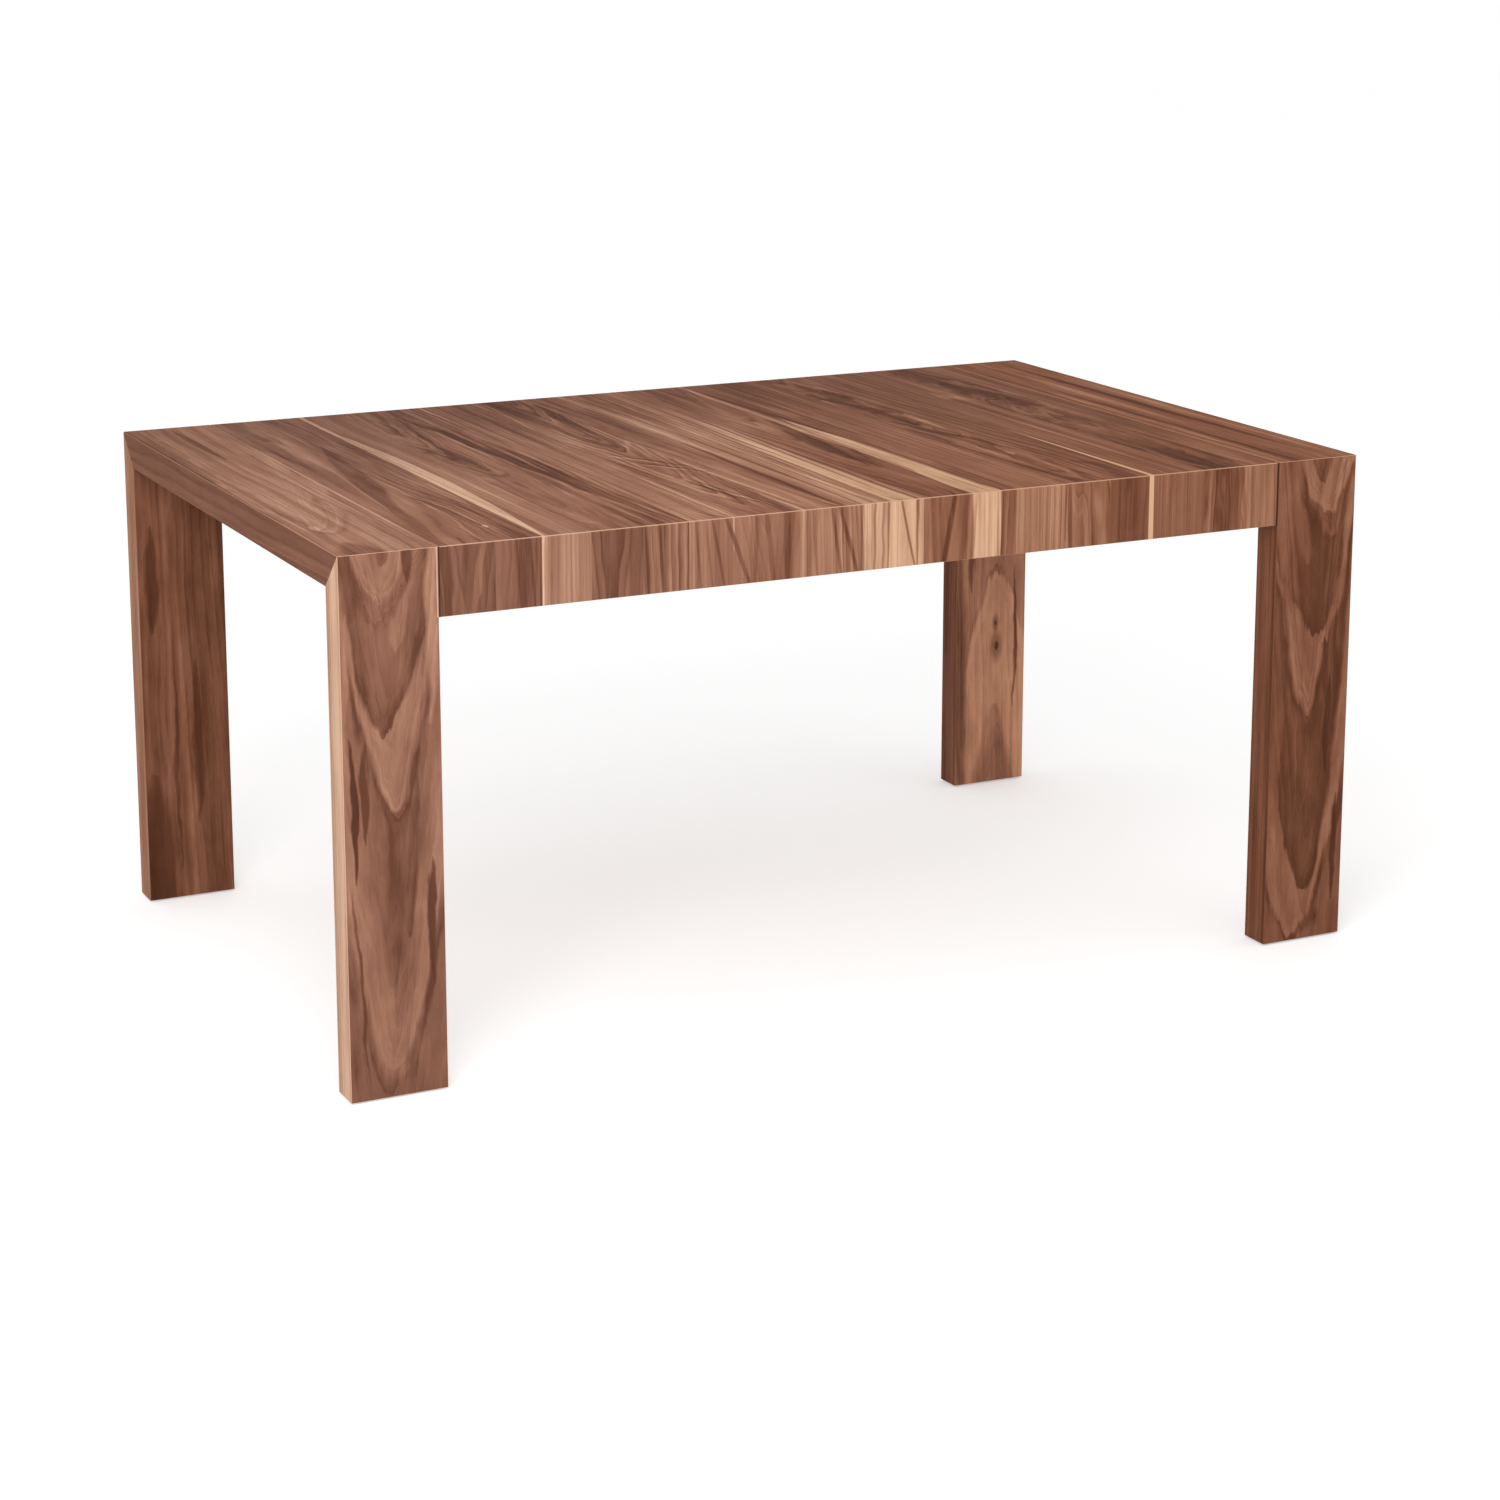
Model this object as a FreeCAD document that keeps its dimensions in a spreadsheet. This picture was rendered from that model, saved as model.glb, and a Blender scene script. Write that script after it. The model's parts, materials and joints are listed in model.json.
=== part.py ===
import FreeCAD, Part
import math
import os
import re
import Sketcher

# Extending dining table: a centre section carried between two sliding end frames.
# X runs along the table, Y across it, Z up. The origin is on the floor under the middle.

Vector = FreeCAD.Vector

# Driving sizes, in millimetres.
driving_sizes = {
    # whole table
    "table_length": 1600,
    "table_width": 1000,
    "table_height": 750,
    # end frames
    "leg_width": 138,
    "leg_thickness": 50,
    "end_rail_thickness": 50,
    "seam_gap": 0.4,
    "arris": 0.7,
    "spline_width": 24,
    "spline_thickness": 6,
    "spline_stop": 12,
    # centre section
    "apron_depth": 95,
    "apron_thickness": 25,
    "top_thickness": 24,
    "cross_rail_width": 60,
    # slide beams, sliders, liners and channels
    "beam_width": 24,
    "beam_wall": 3,
    "beam_gap": 0.6,
    "beam_leg_gap": 4,
    "beam_seat_length": 78,
    "beam_end_gap": 20,
    "slider_length": 30,
    "slider_plug_length": 26,
    "slider_gap": 0.4,
    "liner_wall": 3,
    "liner_gap": 0.4,
    "stop_gap": 0.5,
    "channel_wall": 3,
    "flange_width": 18,
    "mouth_setback": 2,
    # leaves and what carries them
    "leaf_head_gap": 3.4,
    "leaf_rest_gap": 0.5,
    "leaf_side_gap": 1.6,
    "insert_room": 15,
    "divider_width": 4,
    "divider_height": 20,
    "divider_overhang": 24,
    "bearer_thickness": 12,
    "bearer_width": 40,
    "bearer_plate_gap": 16,
    "felt_thickness": 1.5,
    "felt_width": 30,
    "felt_margin": 5,
    # dowels and their sockets
    "dowel_diameter": 8,
    "dowel_reach": 10,
    "dowel_seat": 20,
    "dowel_tip_gap": 2,
    "dowel_chamfer": 1,
    "socket_gap": 0.4,
    "socket_spare": 1,
    # latches
    "latch_setback": 32,
    "latch_reach": 60,
    "plate_thickness": 3,
    "plate_length": 36,
    "plate_margin": 4,
    "lever_width": 18,
    "lever_thickness": 5.2,
    "lever_length": 95,
    "lever_gap": 0.4,
    "lever_bore_gap": 0.06,
    "rivet_diameter": 8,
    "rivet_head_diameter": 13,
    "rivet_head_height": 2.5,
    "peg_diameter": 8,
    "peg_length": 10,
    "peg_gap": 1,
    "keeper_thickness": 4,
    "keeper_width": 32,
    "keeper_depth": 20,
    "keeper_arm_gap": 1.4,
    # foot glides
    "glide_thickness": 3,
    "glide_diameter": 28,
    "glide_inset": 32,
    "nail_diameter": 3.5,
    "nail_length": 14,
    # screws
    "fit_gap": 0.1,
    "bolt_diameter": 6,
    "bolt_head_diameter": 11,
    "bolt_head_height": 2.6,
    "bolt_grip": 15,
    "screw_diameter": 4,
    "screw_head_diameter": 8,
    "screw_head_height": 2.4,
    "screw_grip": 26,
    "top_screw_grip": 13,
    "small_screw_diameter": 3.5,
    "small_screw_head_diameter": 6.5,
    "small_screw_head_height": 2,
    "small_screw_grip": 12,
    "socket_depth": 1.4,
    # one overrun for every cut that passes out of a piece
    "overrun": 2,
}

# Places worked out from the driving sizes.
worked_places = {
    "half_length": "table_length / 2",
    "half_width": "table_width / 2",
    "frame_inner": "half_length - leg_width",
    "centre_end": "frame_inner - seam_gap",
    "leg_inner": "half_width - leg_thickness",
    "apron_inner": "half_width - apron_thickness",
    "rail_underside": "table_height - end_rail_thickness",
    "top_underside": "table_height - top_thickness",
    "apron_underside": "table_height - apron_depth",
    "leaf_thickness": "top_thickness + beam_gap",
    "leaf_top": "rail_underside - leaf_head_gap",
    "leaf_underside": "leaf_top - leaf_thickness",
    "felt_top": "leaf_underside - leaf_rest_gap",
    "bearer_top": "felt_top - felt_thickness",
    "bearer_underside": "bearer_top - bearer_thickness",
    "channel_floor": "bearer_top + channel_wall",
    "beam_underside": "channel_floor + liner_wall + liner_gap",
    "beam_top": "top_underside - beam_gap",
    "beam_outer": "leg_inner - beam_leg_gap",
    "beam_inner": "beam_outer - beam_width",
    "beam_line": "beam_outer - beam_width / 2",
    "beam_seat_end": "frame_inner + beam_seat_length",
    "bay_inner": "beam_inner - liner_gap - liner_wall",
    "bay_outer": "beam_outer + liner_gap + liner_wall",
    "channel_inner": "bay_inner - channel_wall",
    "channel_outer": "bay_outer + channel_wall",
    "flange_line": "channel_outer + flange_width / 2",
    "mouth": "centre_end - mouth_setback",
    "slider_shoulder": "beam_end_gap + slider_length",
    "leaf_outer": "channel_inner - leaf_side_gap",
    "leaf_inner": "divider_width / 2 + dowel_tip_gap + dowel_reach",
    "leaf_width": "leaf_outer - leaf_inner",
    "travel": "leaf_width + insert_room",
    "liner_start": "slider_shoulder + travel + stop_gap",
    "socket_depth_in_edge": "dowel_reach + socket_spare",
    "dowel_level": "table_height - top_thickness / 2",
    "leaf_dowel_level": "leaf_top - top_thickness / 2",
    "plate_underside": "bearer_top - plate_thickness",
    "lever_top": "plate_underside - lever_gap",
    "lever_underside": "lever_top - lever_thickness",
    "rivet_head_top": "lever_underside - lever_gap",
    "latch_pivot": "centre_end - latch_setback",
    "peg_place": "latch_pivot + latch_reach",
    "end_bearer": "latch_pivot - plate_length / 2 - bearer_plate_gap - bearer_width / 2",
    "divider_end": "end_bearer + bearer_width / 2 + divider_overhang",
    "arm_underside": "lever_top + keeper_arm_gap",
    "leg_middle": "half_length - leg_width / 2",
    "leg_line": "half_width - leg_thickness / 2",
    "glide_offset": "leg_width / 2 - glide_inset",
}

# Places along a piece, as shares of the size that carries them.
dowel_shares = [-0.36, 0, 0.36]
channel_screw_shares = [-0.84, -0.55, -0.26, 0.26, 0.55, 0.84]
cross_rail_screw_shares = [-0.66, 0, 0.66]
beam_bolt_shares = [0.26, 0.76]
keeper_screw_shares = [-0.28, 0.28]
plate_screw_shares = [-0.36, 0.36]

sides_along = {"left": -1, "right": 1}
sides_across = {"front": -1, "rear": 1}
latch_side = 1

# The cross rails and the leaf bearers stand above each other at the middle and at both ends.
bearer_sides = {"left": -1, "middle": 0, "right": 1}

document = FreeCAD.newDocument("extending_table")
sizes = document.addObject("Spreadsheet::Sheet", "Sizes")
places = document.addObject("Spreadsheet::Sheet", "Places")
sub_parts = []


def fill_sheets():
    for row, (name, value) in enumerate(driving_sizes.items(), 1):
        sizes.set(f"A{row}", name)
        sizes.set(f"B{row}", str(value))
        sizes.setAlias(f"B{row}", name)
    document.recompute()
    for row, (name, formula) in enumerate(worked_places.items(), 1):
        places.set(f"A{row}", name)
        places.set(f"B{row}", "=" + bind(formula))
        places.setAlias(f"B{row}", name)
    document.recompute()


def bind(text):
    # Gives each named size in a formula its sheet.
    def with_sheet(match):
        word = match.group(0)
        if word in driving_sizes:
            return "Sizes." + word
        if word in worked_places:
            return "Places." + word
        return word
    return re.sub(r"[a-z][a-z_]*", with_sheet, str(text))


def number(text):
    return float(sizes.evalExpression(bind(text)))


def span(side, near, far):
    # A stretch on one side of the middle, lowest end first.
    if side > 0:
        return near, far
    return f"-({far})", f"-({near})"


def rectangle(across, up):
    return [(across[0], up[0]), (across[1], up[0]), (across[1], up[1]), (across[0], up[1])]


def mirrored(side, corners):
    return [(f"{side} * ({across})", up) for across, up in corners]


def new_body(label):
    body = document.addObject("PartDesign::Body", label)
    body.Label = label
    sub_parts.append(body)
    return body


def sketch_on(body, plane, stretch, cuts):
    # A pad starts at one end of its stretch along the plane's normal, and a cut at the other.
    # The normal of the XZ plane points to -Y.
    sketch = body.newObject("Sketcher::SketchObject", body.Label + "_sketch")
    origin = [item for item in body.Origin.OriginFeatures if item.Role == plane + "_Plane"][0]
    sketch.AttachmentSupport = [(origin, "")]
    sketch.MapMode = "FlatFace"
    low, high = stretch
    if plane == "XZ":
        level = f"-({low})" if cuts else f"-({high})"
    else:
        level = high if cuts else low
    sketch.setExpression("AttachmentOffset.Base.z", bind(level))
    return sketch


def place_point(sketch, item, point, across, up):
    for kind, text in (("DistanceX", across), ("DistanceY", up)):
        index = sketch.addConstraint(Sketcher.Constraint(kind, -1, 1, item, point, number(text)))
        sketch.setExpression(f"Constraints[{index}]", bind(text))


def draw_outline(sketch, corners):
    points = [Vector(number(across), number(up), 0) for across, up in corners]
    count = len(points)
    for item in range(count):
        sketch.addGeometry(Part.LineSegment(points[item], points[(item + 1) % count]), False)
    for item in range(count):
        sketch.addConstraint(Sketcher.Constraint("Coincident", item, 2, (item + 1) % count, 1))
    for item, (across, up) in enumerate(corners):
        place_point(sketch, item, 1, across, up)


def draw_circles(sketch, centres, diameter):
    for item, (across, up) in enumerate(centres):
        centre = Vector(number(across), number(up), 0)
        sketch.addGeometry(Part.Circle(centre, Vector(0, 0, 1), number(diameter) / 2), False)
        place_point(sketch, item, 3, across, up)
        index = sketch.addConstraint(Sketcher.Constraint("Diameter", item, number(diameter)))
        sketch.setExpression(f"Constraints[{index}]", bind(diameter))


def finish_feature(body, kind, sketch, stretch):
    feature = body.newObject("PartDesign::" + kind, body.Label + "_" + kind.lower())
    feature.Profile = sketch
    feature.setExpression("Length", bind(f"({stretch[1]}) - ({stretch[0]})"))
    document.recompute()
    return feature


def pad(body, plane, corners, stretch):
    sketch = sketch_on(body, plane, stretch, False)
    draw_outline(sketch, corners)
    return finish_feature(body, "Pad", sketch, stretch)


def round_pad(body, plane, centres, diameter, stretch):
    sketch = sketch_on(body, plane, stretch, False)
    draw_circles(sketch, centres, diameter)
    return finish_feature(body, "Pad", sketch, stretch)


def cut(body, plane, corners, stretch):
    before = body.Shape.Volume
    sketch = sketch_on(body, plane, stretch, True)
    draw_outline(sketch, corners)
    feature = finish_feature(body, "Pocket", sketch, stretch)
    if body.Shape.Volume >= before:
        raise RuntimeError(body.Label + ": a cut removes nothing")
    return feature


def bore(body, plane, centres, diameter, stretch):
    before = body.Shape.Volume
    sketch = sketch_on(body, plane, stretch, True)
    draw_circles(sketch, centres, diameter)
    feature = finish_feature(body, "Pocket", sketch, stretch)
    if body.Shape.Volume >= before:
        raise RuntimeError(body.Label + ": a bore removes nothing")
    return feature


def ease_edges(body, axis, lines):
    # A small chamfer on the straight edges along one axis that pass through the given places.
    shape = body.Shape
    near = number("arris") / 10
    wanted = [[number(text) for text in line] for line in lines]
    names = []
    for count, edge in enumerate(shape.Edges, 1):
        first = edge.Vertexes[0].Point
        last = edge.Vertexes[-1].Point
        if abs(abs(last[axis] - first[axis]) - edge.Length) > near:
            continue
        beside = [first[other] for other in range(3) if other != axis]
        if any(math.dist(beside, line) < near for line in wanted):
            names.append(f"Edge{count}")
    if len(names) < len(lines):
        raise RuntimeError(body.Label + ": an edge to ease is missing")
    base = body.Tip
    chamfer = body.newObject("PartDesign::Chamfer", body.Label + "_chamfer")
    chamfer.Base = (base, names)
    chamfer.setExpression("Size", bind("arris"))
    document.recompute()


def ease_outer_corner(body, side, stretch):
    # Takes the sharp tip off the long corner between the top face and an outer face.
    corners = [
        ("half_width - arris - overrun", "table_height + overrun"),
        ("half_width + overrun", "table_height - arris - overrun"),
        ("half_width + overrun", "table_height + overrun"),
    ]
    cut(body, "YZ", mirrored(side, corners), stretch)


def box(label, along, across, up):
    piece = document.addObject("Part::Box", label)
    piece.Label = label
    stretches = zip(("Length", "Width", "Height"), ("x", "y", "z"), (along, across, up))
    for size, axis, (low, high) in stretches:
        piece.setExpression(size, bind(f"({high}) - ({low})"))
        piece.setExpression("Placement.Base." + axis, bind(low))
    sub_parts.append(piece)
    return piece


def group(label, solids):
    piece = document.addObject("Part::Feature", label)
    piece.Label = label
    piece.Shape = Part.Compound(solids)
    sub_parts.append(piece)
    return piece


def screw(name, grip, head_at, direction):
    # A pan-head screw with a hex socket. Its head's underside is at head_at.
    radius = number(name + "_diameter") / 2
    head_radius = number(name + "_head_diameter") / 2
    head_height = number(name + "_head_height")
    solid = Part.makeCylinder(radius, number(grip), head_at, direction)
    head = Part.makeCylinder(head_radius, head_height, head_at - direction * head_height, direction)
    rim = [edge for edge in head.Edges if edge.Closed]
    outer_rim = min(rim, key=lambda edge: edge.CenterOfMass.dot(direction))
    head = head.makeChamfer(head_height / 4, [outer_rim])
    corners = []
    sideways = Vector(direction.y, direction.z, direction.x)
    for turn in range(7):
        arm = FreeCAD.Rotation(direction, turn * 60).multVec(sideways) * radius
        corners.append(head_at - direction * head_height + arm)
    recess = Part.Face(Part.makePolygon(corners)).extrude(direction * number("socket_depth"))
    return solid.fuse(head).cut(recess).removeSplitter()


def dowel(start, direction, length):
    solid = Part.makeCylinder(number("dowel_diameter") / 2, length, start, direction)
    rims = [edge for edge in solid.Edges if edge.Closed]
    return solid.makeChamfer(number("dowel_chamfer"), rims)


def point(along, across, up):
    return Vector(number(along), number(across), number(up))


def spline_outline(spare):
    # The tongue lies square across the 45 degree mitre, halfway along it.
    reach = f"(spline_width / 2 - {spare}) / sqrt(2)"
    half = f"(spline_thickness / 2 - {spare}) / sqrt(2)"
    middle = ("(half_width + leg_inner) / 2", "(table_height + rail_underside) / 2")
    signs = [(-1, -1), (-1, 1), (1, 1), (1, -1)]
    corners = []
    for reach_sign, half_sign in signs:
        across = f"{middle[0]} + {reach_sign} * {reach} + {half_sign} * {half}"
        up = f"{middle[1]} - {reach_sign} * {reach} + {half_sign} * {half}"
        corners.append((across, up))
    return corners


def glide_centres(along_side, across_side):
    across = f"{across_side} * leg_line"
    return [
        (f"{along_side} * leg_middle + {sign} * glide_offset", across)
        for sign in (-1, 1)
    ]


def keeper_screw_places(along_side):
    return [f"{along_side} * peg_place + {share} * keeper_width" for share in keeper_screw_shares]


def keeper_screw_level():
    return "(arm_underside + arm_underside - keeper_depth + keeper_thickness) / 2 + arris"


def make_leg(along, across):
    along_side = sides_along[along]
    across_side = sides_across[across]
    stretch = span(along_side, "frame_inner", "half_length")
    body = new_body(f"leg_{across}_{along}")
    corners = [
        ("half_width", "glide_thickness"),
        ("half_width", "table_height"),
        ("leg_inner", "rail_underside"),
        ("leg_inner", "glide_thickness"),
    ]
    pad(body, "YZ", mirrored(across_side, corners), stretch)
    faces = [f"{across_side} * half_width", f"{across_side} * leg_inner"]
    ease_edges(body, 2, [(end, face) for end in stretch for face in faces])
    ease_outer_corner(body, across_side, stretch)
    slot = (f"{stretch[0]} + spline_stop", f"{stretch[1]} - spline_stop")
    cut(body, "YZ", mirrored(across_side, spline_outline("0")), slot)
    nail_hole = ("glide_thickness", "glide_thickness + nail_length + fit_gap")
    centres = glide_centres(along_side, across_side)
    bore(body, "XY", centres, "nail_diameter + 2 * fit_gap", nail_hole)
    if across_side == latch_side:
        bore_keeper_holes(body, along_side)


def bore_keeper_holes(body, along_side):
    centres = [(place, keeper_screw_level()) for place in keeper_screw_places(along_side)]
    depth = ("leg_inner - overrun", "leg_inner + small_screw_grip")
    bore(body, "XZ", centres, "small_screw_diameter + 2 * fit_gap", span(latch_side, *depth))


def make_end_rail(along):
    side = sides_along[along]
    stretch = span(side, "frame_inner", "half_length")
    body = new_body(f"end_rail_{along}")
    corners = [
        ("-half_width", "table_height"),
        ("half_width", "table_height"),
        ("leg_inner", "rail_underside"),
        ("-leg_inner", "rail_underside"),
    ]
    pad(body, "YZ", corners, stretch)
    levels = ("table_height", "rail_underside")
    ease_edges(body, 1, [(end, level) for end in stretch for level in levels])
    slot = (f"{stretch[0]} + spline_stop", f"{stretch[1]} - spline_stop")
    for across_side in sides_across.values():
        ease_outer_corner(body, across_side, stretch)
        cut(body, "YZ", mirrored(across_side, spline_outline("0")), slot)
        cut_beam_groove(body, side, across_side)
    bore_rail_dowels(body, side)


def cut_beam_groove(body, side, across_side):
    along = span(side, "frame_inner - overrun", "beam_seat_end + fit_gap")
    across = span(across_side, "beam_inner - fit_gap", "beam_outer + fit_gap")
    cut(body, "XY", rectangle(along, across), ("rail_underside - overrun", "beam_top"))
    centres = [(place, f"{across_side} * beam_line") for place in beam_bolt_places(side)]
    depth = ("beam_top - overrun", "beam_top + bolt_grip")
    bore(body, "XY", centres, "bolt_diameter + 2 * fit_gap", depth)


def beam_bolt_places(side):
    return [f"{side} * (frame_inner + {share} * beam_seat_length)" for share in beam_bolt_shares]


def bore_rail_dowels(body, side):
    centres = [(f"{share} * table_width", "dowel_level") for share in dowel_shares]
    depth = span(side, "frame_inner - overrun", "frame_inner + dowel_seat + fit_gap")
    bore(body, "YZ", centres, "dowel_diameter + 2 * fit_gap", depth)


def make_mitre_splines(along):
    side = sides_along[along]
    low, high = span(side, "frame_inner + spline_stop + fit_gap", "half_length - spline_stop - fit_gap")
    solids = []
    for across_side in sides_across.values():
        corners = mirrored(across_side, spline_outline("fit_gap"))
        ring = [point(low, across, up) for across, up in corners]
        face = Part.Face(Part.makePolygon(ring + ring[:1]))
        solids.append(face.extrude(Vector(number(f"({high}) - ({low})"), 0, 0)))
    group(f"mitre_splines_{along}", solids)


def make_slide_beam(along, across):
    side = sides_along[along]
    across_side = sides_across[across]
    stretch = span(side, "slider_shoulder", "beam_seat_end")
    body = new_body(f"slide_beam_{across}_{along}")
    outer = rectangle(span(across_side, "beam_inner", "beam_outer"), ("beam_underside", "beam_top"))
    pad(body, "YZ", outer, stretch)
    bay_across = span(across_side, "beam_inner + beam_wall", "beam_outer - beam_wall")
    bay = rectangle(bay_across, ("beam_underside + beam_wall", "beam_top - beam_wall"))
    cut(body, "YZ", bay, (f"{stretch[0]} - overrun", f"{stretch[1]} + overrun"))
    centres = [(place, f"{across_side} * beam_line") for place in beam_bolt_places(side)]
    depth = ("beam_underside - overrun", "beam_top + overrun")
    bore(body, "XY", centres, "bolt_diameter + 2 * fit_gap", depth)


def make_beam_slider(along, across):
    side = sides_along[along]
    across_side = sides_across[across]
    body = new_body(f"beam_slider_{across}_{along}")
    block_across = span(across_side, "bay_inner + slider_gap", "bay_outer - slider_gap")
    block = rectangle(block_across, ("channel_floor + slider_gap", "beam_top"))
    pad(body, "YZ", block, span(side, "beam_end_gap", "slider_shoulder"))
    spare = "(beam_wall + fit_gap)"
    plug_across = span(across_side, f"beam_inner + {spare}", f"beam_outer - {spare}")
    plug = rectangle(plug_across, (f"beam_underside + {spare}", f"beam_top - {spare}"))
    reach = span(side, "slider_shoulder - slider_gap", "slider_shoulder + slider_plug_length")
    pad(body, "YZ", plug, reach)


def make_beam_bolts(along):
    side = sides_along[along]
    grip = "beam_top - beam_underside + bolt_grip - fit_gap"
    solids = []
    for across_side in sides_across.values():
        for place in beam_bolt_places(side):
            head_at = point(place, f"{across_side} * beam_line", "beam_underside")
            solids.append(screw("bolt", grip, head_at, Vector(0, 0, 1)))
    group(f"beam_bolts_{along}", solids)


def make_end_dowels(along):
    side = sides_along[along]
    solids = []
    for share in dowel_shares:
        start = point(f"{side} * (frame_inner - dowel_reach)", f"{share} * table_width", "dowel_level")
        solids.append(dowel(start, Vector(side, 0, 0), number("dowel_reach + dowel_seat")))
    group(f"end_dowels_{along}", solids)


def make_foot_glides(along):
    solids = []
    for across_side in sides_across.values():
        for place, across in glide_centres(sides_along[along], across_side):
            disc = Part.makeCylinder(
                number("glide_diameter") / 2, number("glide_thickness"), point(place, across, "0")
            )
            rim = [edge for edge in disc.Edges if edge.Closed and edge.CenterOfMass.z == 0]
            disc = disc.makeChamfer(number("glide_thickness") / 4, rim)
            nail = Part.makeCylinder(
                number("nail_diameter") / 2,
                number("glide_thickness / 2 + nail_length"),
                point(place, across, "glide_thickness / 2"),
            )
            solids.append(disc.fuse(nail).removeSplitter())
    group(f"foot_glides_{along}", solids)


def make_latch_keeper(along):
    # A bracket on the inner face of the rear leg, with a peg that hangs from its arm.
    side = sides_along[along]
    body = new_body(f"latch_keeper_{along}")
    corners = [
        ("leg_inner", "arm_underside + keeper_thickness"),
        ("leg_inner", "arm_underside - keeper_depth + keeper_thickness"),
        ("leg_inner - keeper_thickness", "arm_underside - keeper_depth + keeper_thickness"),
        ("leg_inner - keeper_thickness", "arm_underside"),
        ("beam_line - peg_diameter", "arm_underside"),
        ("beam_line - peg_diameter", "arm_underside + keeper_thickness"),
    ]
    stretch = span(side, "peg_place - keeper_width / 2", "peg_place + keeper_width / 2")
    pad(body, "YZ", mirrored(latch_side, corners), stretch)
    peg = [(f"{side} * peg_place", f"{latch_side} * beam_line")]
    peg_stretch = ("arm_underside - peg_length", "arm_underside + keeper_thickness / 2")
    round_pad(body, "XY", peg, "peg_diameter", peg_stretch)
    centres = [(place, keeper_screw_level()) for place in keeper_screw_places(side)]
    depth = span(latch_side, "leg_inner - keeper_thickness - overrun", "leg_inner + overrun")
    bore(body, "XZ", centres, "small_screw_diameter + 2 * fit_gap", depth)


def make_keeper_screws(along):
    solids = []
    for place in keeper_screw_places(sides_along[along]):
        across = f"{latch_side} * (leg_inner - keeper_thickness)"
        head_at = point(place, across, keeper_screw_level())
        grip = "keeper_thickness + small_screw_grip - fit_gap"
        solids.append(screw("small_screw", grip, head_at, Vector(0, latch_side, 0)))
    group(f"keeper_screws_{along}", solids)


def make_centre_top():
    body = new_body("centre_top")
    stretch = ("-centre_end", "centre_end")
    corners = [
        ("-half_width", "table_height"),
        ("half_width", "table_height"),
        ("apron_inner", "top_underside"),
        ("-apron_inner", "top_underside"),
    ]
    pad(body, "YZ", corners, stretch)
    ease_edges(body, 1, [(end, "table_height") for end in stretch])
    for across_side in sides_across.values():
        ease_outer_corner(body, across_side, stretch)
    sockets = [(f"{share} * table_width", "dowel_level") for share in dowel_shares]
    for side in sides_along.values():
        depth = span(side, "centre_end - socket_depth_in_edge", "centre_end + overrun")
        bore(body, "YZ", sockets, "dowel_diameter + 2 * socket_gap", depth)
    depth = ("top_underside - overrun", "top_underside + top_screw_grip")
    bore(body, "XY", cross_rail_screw_places(), "screw_diameter + 2 * fit_gap", depth)


def make_apron(across):
    side = sides_across[across]
    body = new_body(f"{across}_apron")
    stretch = ("-centre_end", "centre_end")
    corners = [
        ("half_width", "table_height"),
        ("apron_inner", "top_underside"),
        ("apron_inner", "apron_underside"),
        ("half_width", "apron_underside"),
    ]
    pad(body, "YZ", mirrored(side, corners), stretch)
    face = f"{side} * half_width"
    ease_edges(body, 2, [(end, face) for end in stretch])
    ease_edges(body, 0, [(face, "apron_underside")])
    ease_outer_corner(body, side, stretch)


def cross_rail_screw_places(names=None):
    return [
        (f"{bearer_sides[name]} * end_bearer", f"{share} * channel_inner")
        for name in names or bearer_sides
        for share in cross_rail_screw_shares
    ]


def make_cross_rail(name):
    body = new_body(f"cross_rail_{name}")
    middle = f"{bearer_sides[name]} * end_bearer"
    along = (f"{middle} - cross_rail_width / 2", f"{middle} + cross_rail_width / 2")
    outline = rectangle(along, ("-channel_inner", "channel_inner"))
    pad(body, "XY", outline, ("rail_underside", "top_underside"))
    centres = cross_rail_screw_places([name])
    through = ("rail_underside - overrun", "top_underside + overrun")
    bore(body, "XY", centres, "screw_diameter + 2 * fit_gap", through)
    sunk = ("rail_underside - overrun", "rail_underside + screw_head_height")
    bore(body, "XY", centres, "screw_head_diameter + 4 * fit_gap", sunk)


def make_cross_rail_screws():
    grip = "top_underside - rail_underside - screw_head_height + top_screw_grip - fit_gap"
    solids = []
    for along, across in cross_rail_screw_places():
        head_at = point(along, across, "rail_underside + screw_head_height")
        solids.append(screw("screw", grip, head_at, Vector(0, 0, 1)))
    group("cross_rail_screws", solids)


def bearer_screw_places(side):
    return [(f"{bearer} * end_bearer", f"{side} * flange_line") for bearer in bearer_sides.values()]


def channel_screw_places(side):
    return [(f"{share} * end_bearer", f"{side} * flange_line") for share in channel_screw_shares]


def plate_screw_places(along_side):
    along = f"{along_side} * (latch_pivot - plate_length / 2 + plate_margin)"
    return [
        (along, f"{latch_side} * (beam_line + {share} * (channel_outer - channel_inner))")
        for share in plate_screw_shares
    ]


def make_guide_channel(across):
    side = sides_across[across]
    body = new_body(f"guide_channel_{across}")
    corners = [
        ("channel_inner", "top_underside"),
        ("channel_inner", "bearer_top"),
        ("channel_outer + flange_width", "bearer_top"),
        ("channel_outer + flange_width", "channel_floor"),
        ("channel_outer", "channel_floor"),
        ("channel_outer", "top_underside"),
        ("bay_outer", "top_underside"),
        ("bay_outer", "channel_floor"),
        ("bay_inner", "channel_floor"),
        ("bay_inner", "top_underside"),
    ]
    pad(body, "YZ", mirrored(side, corners), ("-mouth", "mouth"))
    centres = bearer_screw_places(side) + channel_screw_places(side)
    depth = ("bearer_top - overrun", "channel_floor + overrun")
    bore(body, "XY", centres, "screw_diameter + 2 * fit_gap", depth)
    if side == latch_side:
        centres = [place for end in sides_along.values() for place in plate_screw_places(end)]
        bore(body, "XY", centres, "small_screw_diameter + 2 * fit_gap", depth)


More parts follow.
